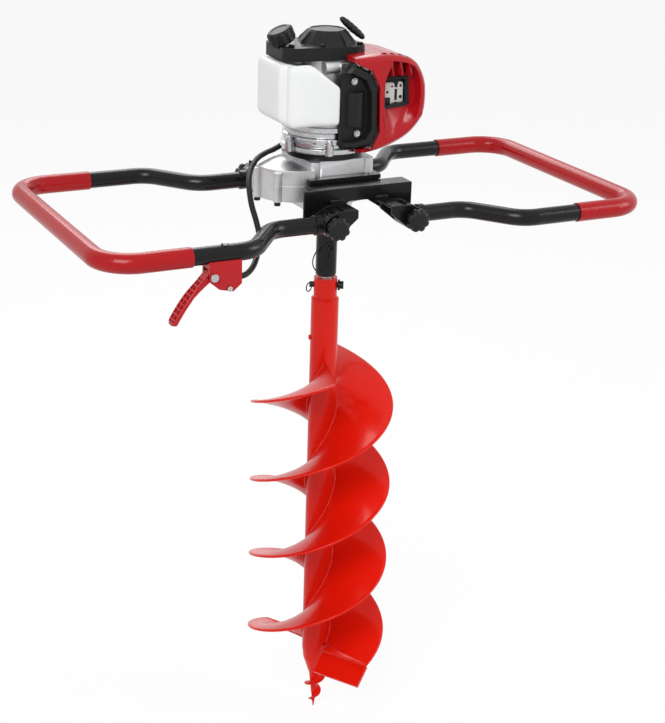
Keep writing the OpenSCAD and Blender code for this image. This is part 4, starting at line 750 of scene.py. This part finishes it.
# bolt head: a six-sided crown with a chamfer and a shallow hollow, standing on the round flange of its screw
def boltPart(s, foot, axisX, axisZ):
    r, h = s["radius"], s["height"]
    profile = [(0.5, -0.2), (r, -0.2), (r, h - 0.5), (r - 0.6, h), (r * 0.55, h), (r * 0.45, h - 0.5),
               (0.3, h - 0.5)]
    return turned(profile, noRipple, foot, axisX, axisZ, 6)


boltParts = [boltPart(boltSet, (x + engineX, boltSet["face"], z), (1, 0, 0.3), (0, -1, 0))
             for x, z in boltSet["shroud"]]
for angle in np.radians(boltSet["angles"]):
    foot = (engineX + boltSet["ring"] * math.cos(angle), boltSet["ring"] * math.sin(angle), boltSet["top"])
    boltParts.append(boltPart(boltSet, foot, (1, 0.4, 0), (0, 0, 1)))
addPiece("bolt_heads", boltParts, "screwSteel", "frame", (), 25)

cornerSet = dict(x0=24.0, x1=42.0, y=88.6, levels=(812.2, 806.8), size=1.9, pitch=3.4)


# bracket weld: short beads above and below each bracket's plate, where it meets its beam
def cornerWeld(s, sx, sy, z):
    run = np.linspace(0, s["x1"] - s["x0"], 70)
    line = np.stack([sx * (s["x0"] + run), np.full(70, sy * s["y"]), z + 0.2 * np.sin(run * 0.7)], -1)
    swell = 0.85 + 0.25 * np.abs(np.sin(np.pi * run / s["pitch"]))
    return gridPart(tubeAlong(line, s["size"] * swell, 9))


addPiece("bracket_welds", [cornerWeld(cornerSet, sx, sy, z) for sx in (-1, 1) for sy in (-1, 1)
                           for z in cornerSet["levels"]], "blackPaint", "frame", (), 80)
print("stage 8: keeper wire, heat shield, bolt heads and bracket welds")


# housings and pressed steel keep the frame's shape; their edges are rounded by width in millimetres
softSet = {
    "engine_cover": ("redPlastic", 1.6, 3), "engine_shroud": ("blackPlastic", 1.2, 2),
    "recoil_housing": ("blackPlastic", 1.6, 3), "gear_case": ("castAlloy", 1.2, 2),
    "gear_case_cover": ("castAlloy", 1.2, 2), "frame_front_beam": ("blackPaint", 1.0, 2),
    "frame_rear_beam": ("blackPaint", 1.0, 2), "base_plate": ("blackPaint", 0.9, 2),
    "clamp_brackets": ("blackPaint", 0.9, 2), "throttle_housing": ("redDull", 1.0, 2),
    "air_cleaner": ("blackPlastic", 2.0, 3), "muffler": ("paleCast", 1.0, 2),
    "carburettor": ("castAlloy", 0.8, 2), "clutch_housing": ("polishedAlloy", 0.5, 2),
    "cutter_blades": ("redPaint", 0.6, 2), "crankcase": ("castAlloy", 0.8, 2),
}


# a merged copy of a node with its flat faces joined, so that a bevel runs round real edges only
def softenNode(node, finish, width, segments):
    mesh = nodes[node].data.copy()
    shape = bmesh.new()
    shape.from_mesh(mesh)
    bmesh.ops.remove_doubles(shape, verts=shape.verts, dist=2e-6)
    bmesh.ops.dissolve_limit(shape, angle_limit=math.radians(0.8), verts=shape.verts, edges=shape.edges)
    shape.to_mesh(mesh)
    shape.free()
    mesh.shade_smooth()
    mesh.set_sharp_from_angle(angle=math.radians(32))
    mesh.materials.clear()
    mesh.materials.append(finishes[finish])
    made = bpy.data.objects.new("soft_" + node, mesh)
    scene.collection.objects.link(made)
    bevel = made.modifiers.new("edges", "BEVEL")
    bevel.width = width * mm
    bevel.segments = segments
    bevel.limit_method = "ANGLE"
    bevel.angle_limit = math.radians(34)
    bevel.use_clamp_overlap = True
    bevel.harden_normals = True
    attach(made, bodyOf[node])
    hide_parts(node)
    return made


for node, (finish, width, segments) in softSet.items():
    softenNode(node, finish, width, segments)
print("stage 9:", len(softSet), "softened housings")

# pale floor, pale world and soft lamps
lightSet = {
    "floor": (0.86, 0.86, 0.86),
    "floorZ": -0.0015,
    "white": 0.9,
    "world": 0.42,
    "aim": (0.0, 0.0, 0.55),
    "lamps": [
        dict(at=(-1.9, -1.9, 2.7), size=1.6, power=74),
        dict(at=(2.2, -1.3, 1.9), size=1.4, power=32),
        dict(at=(0.4, 1.9, 2.4), size=1.6, power=34),
    ],
}


# 1 where a ray comes from the camera, or by way of gloss or glass, and 0 where it only lights
def shownRay(tree):
    rays = tree.nodes.new("ShaderNodeLightPath").outputs
    kinds = [Wire(tree, rays[kind]) for kind in ("Is Camera Ray", "Is Glossy Ray", "Is Transmission Ray")]
    return kinds[0].maths("MAXIMUM", kinds[0].maths("MAXIMUM", kinds[0], kinds[1]), kinds[2])


def setStage(s):
    span = 25.0
    corners = [(-span, -span, s["floorZ"]), (span, -span, s["floorZ"]), (span, span, s["floorZ"]),
               (-span, span, s["floorZ"])]
    mesh = bpy.data.meshes.new("floor")
    mesh.from_pydata(corners, [], [(0, 1, 2, 3)])
    floor = bpy.data.objects.new("floor", mesh)
    scene.collection.objects.link(floor)
    mat, shader, where = newSurface("floorFinish")
    shader.inputs["Base Color"].default_value = rgba(s["floor"])
    shader.inputs["Roughness"].default_value = 0.9
    glow = where.node("ShaderNodeEmission", {}, {"Color": (1.0, 1.0, 1.0, 1.0), "Strength": 1.0})
    seen = shownRay(where.tree)
    lit = Wire(where.tree, shader.outputs[0])
    both = where.node("ShaderNodeMixShader", {}, {0: seen * s["white"], 1: lit, 2: glow})
    where.put(where.tree.nodes["Material Output"].inputs["Surface"], both)
    mesh.materials.append(mat)
    world = bpy.data.worlds.new("studio")
    world.use_nodes = True
    scene.world = world
    back = world.node_tree.nodes["Background"]
    ray = shownRay(world.node_tree)
    back.inputs["Color"].default_value = (1.0, 1.0, 1.0, 1.0)
    ray.put(back.inputs["Strength"], ray * (1.0 - s["world"]) + s["world"])
    for k, lamp in enumerate(s["lamps"]):
        data = bpy.data.lights.new("lamp%d" % k, "AREA")
        data.size = lamp["size"]
        data.energy = lamp["power"]
        made = bpy.data.objects.new("lamp%d" % k, data)
        scene.collection.objects.link(made)
        facing = Vector(s["aim"]) - Vector(lamp["at"])
        turn = facing.to_track_quat("-Z", "Y").to_matrix().to_4x4()
        made.matrix_world = Matrix.Translation(lamp["at"]) @ turn


setStage(lightSet)
print("stage 10: floor and lamps")
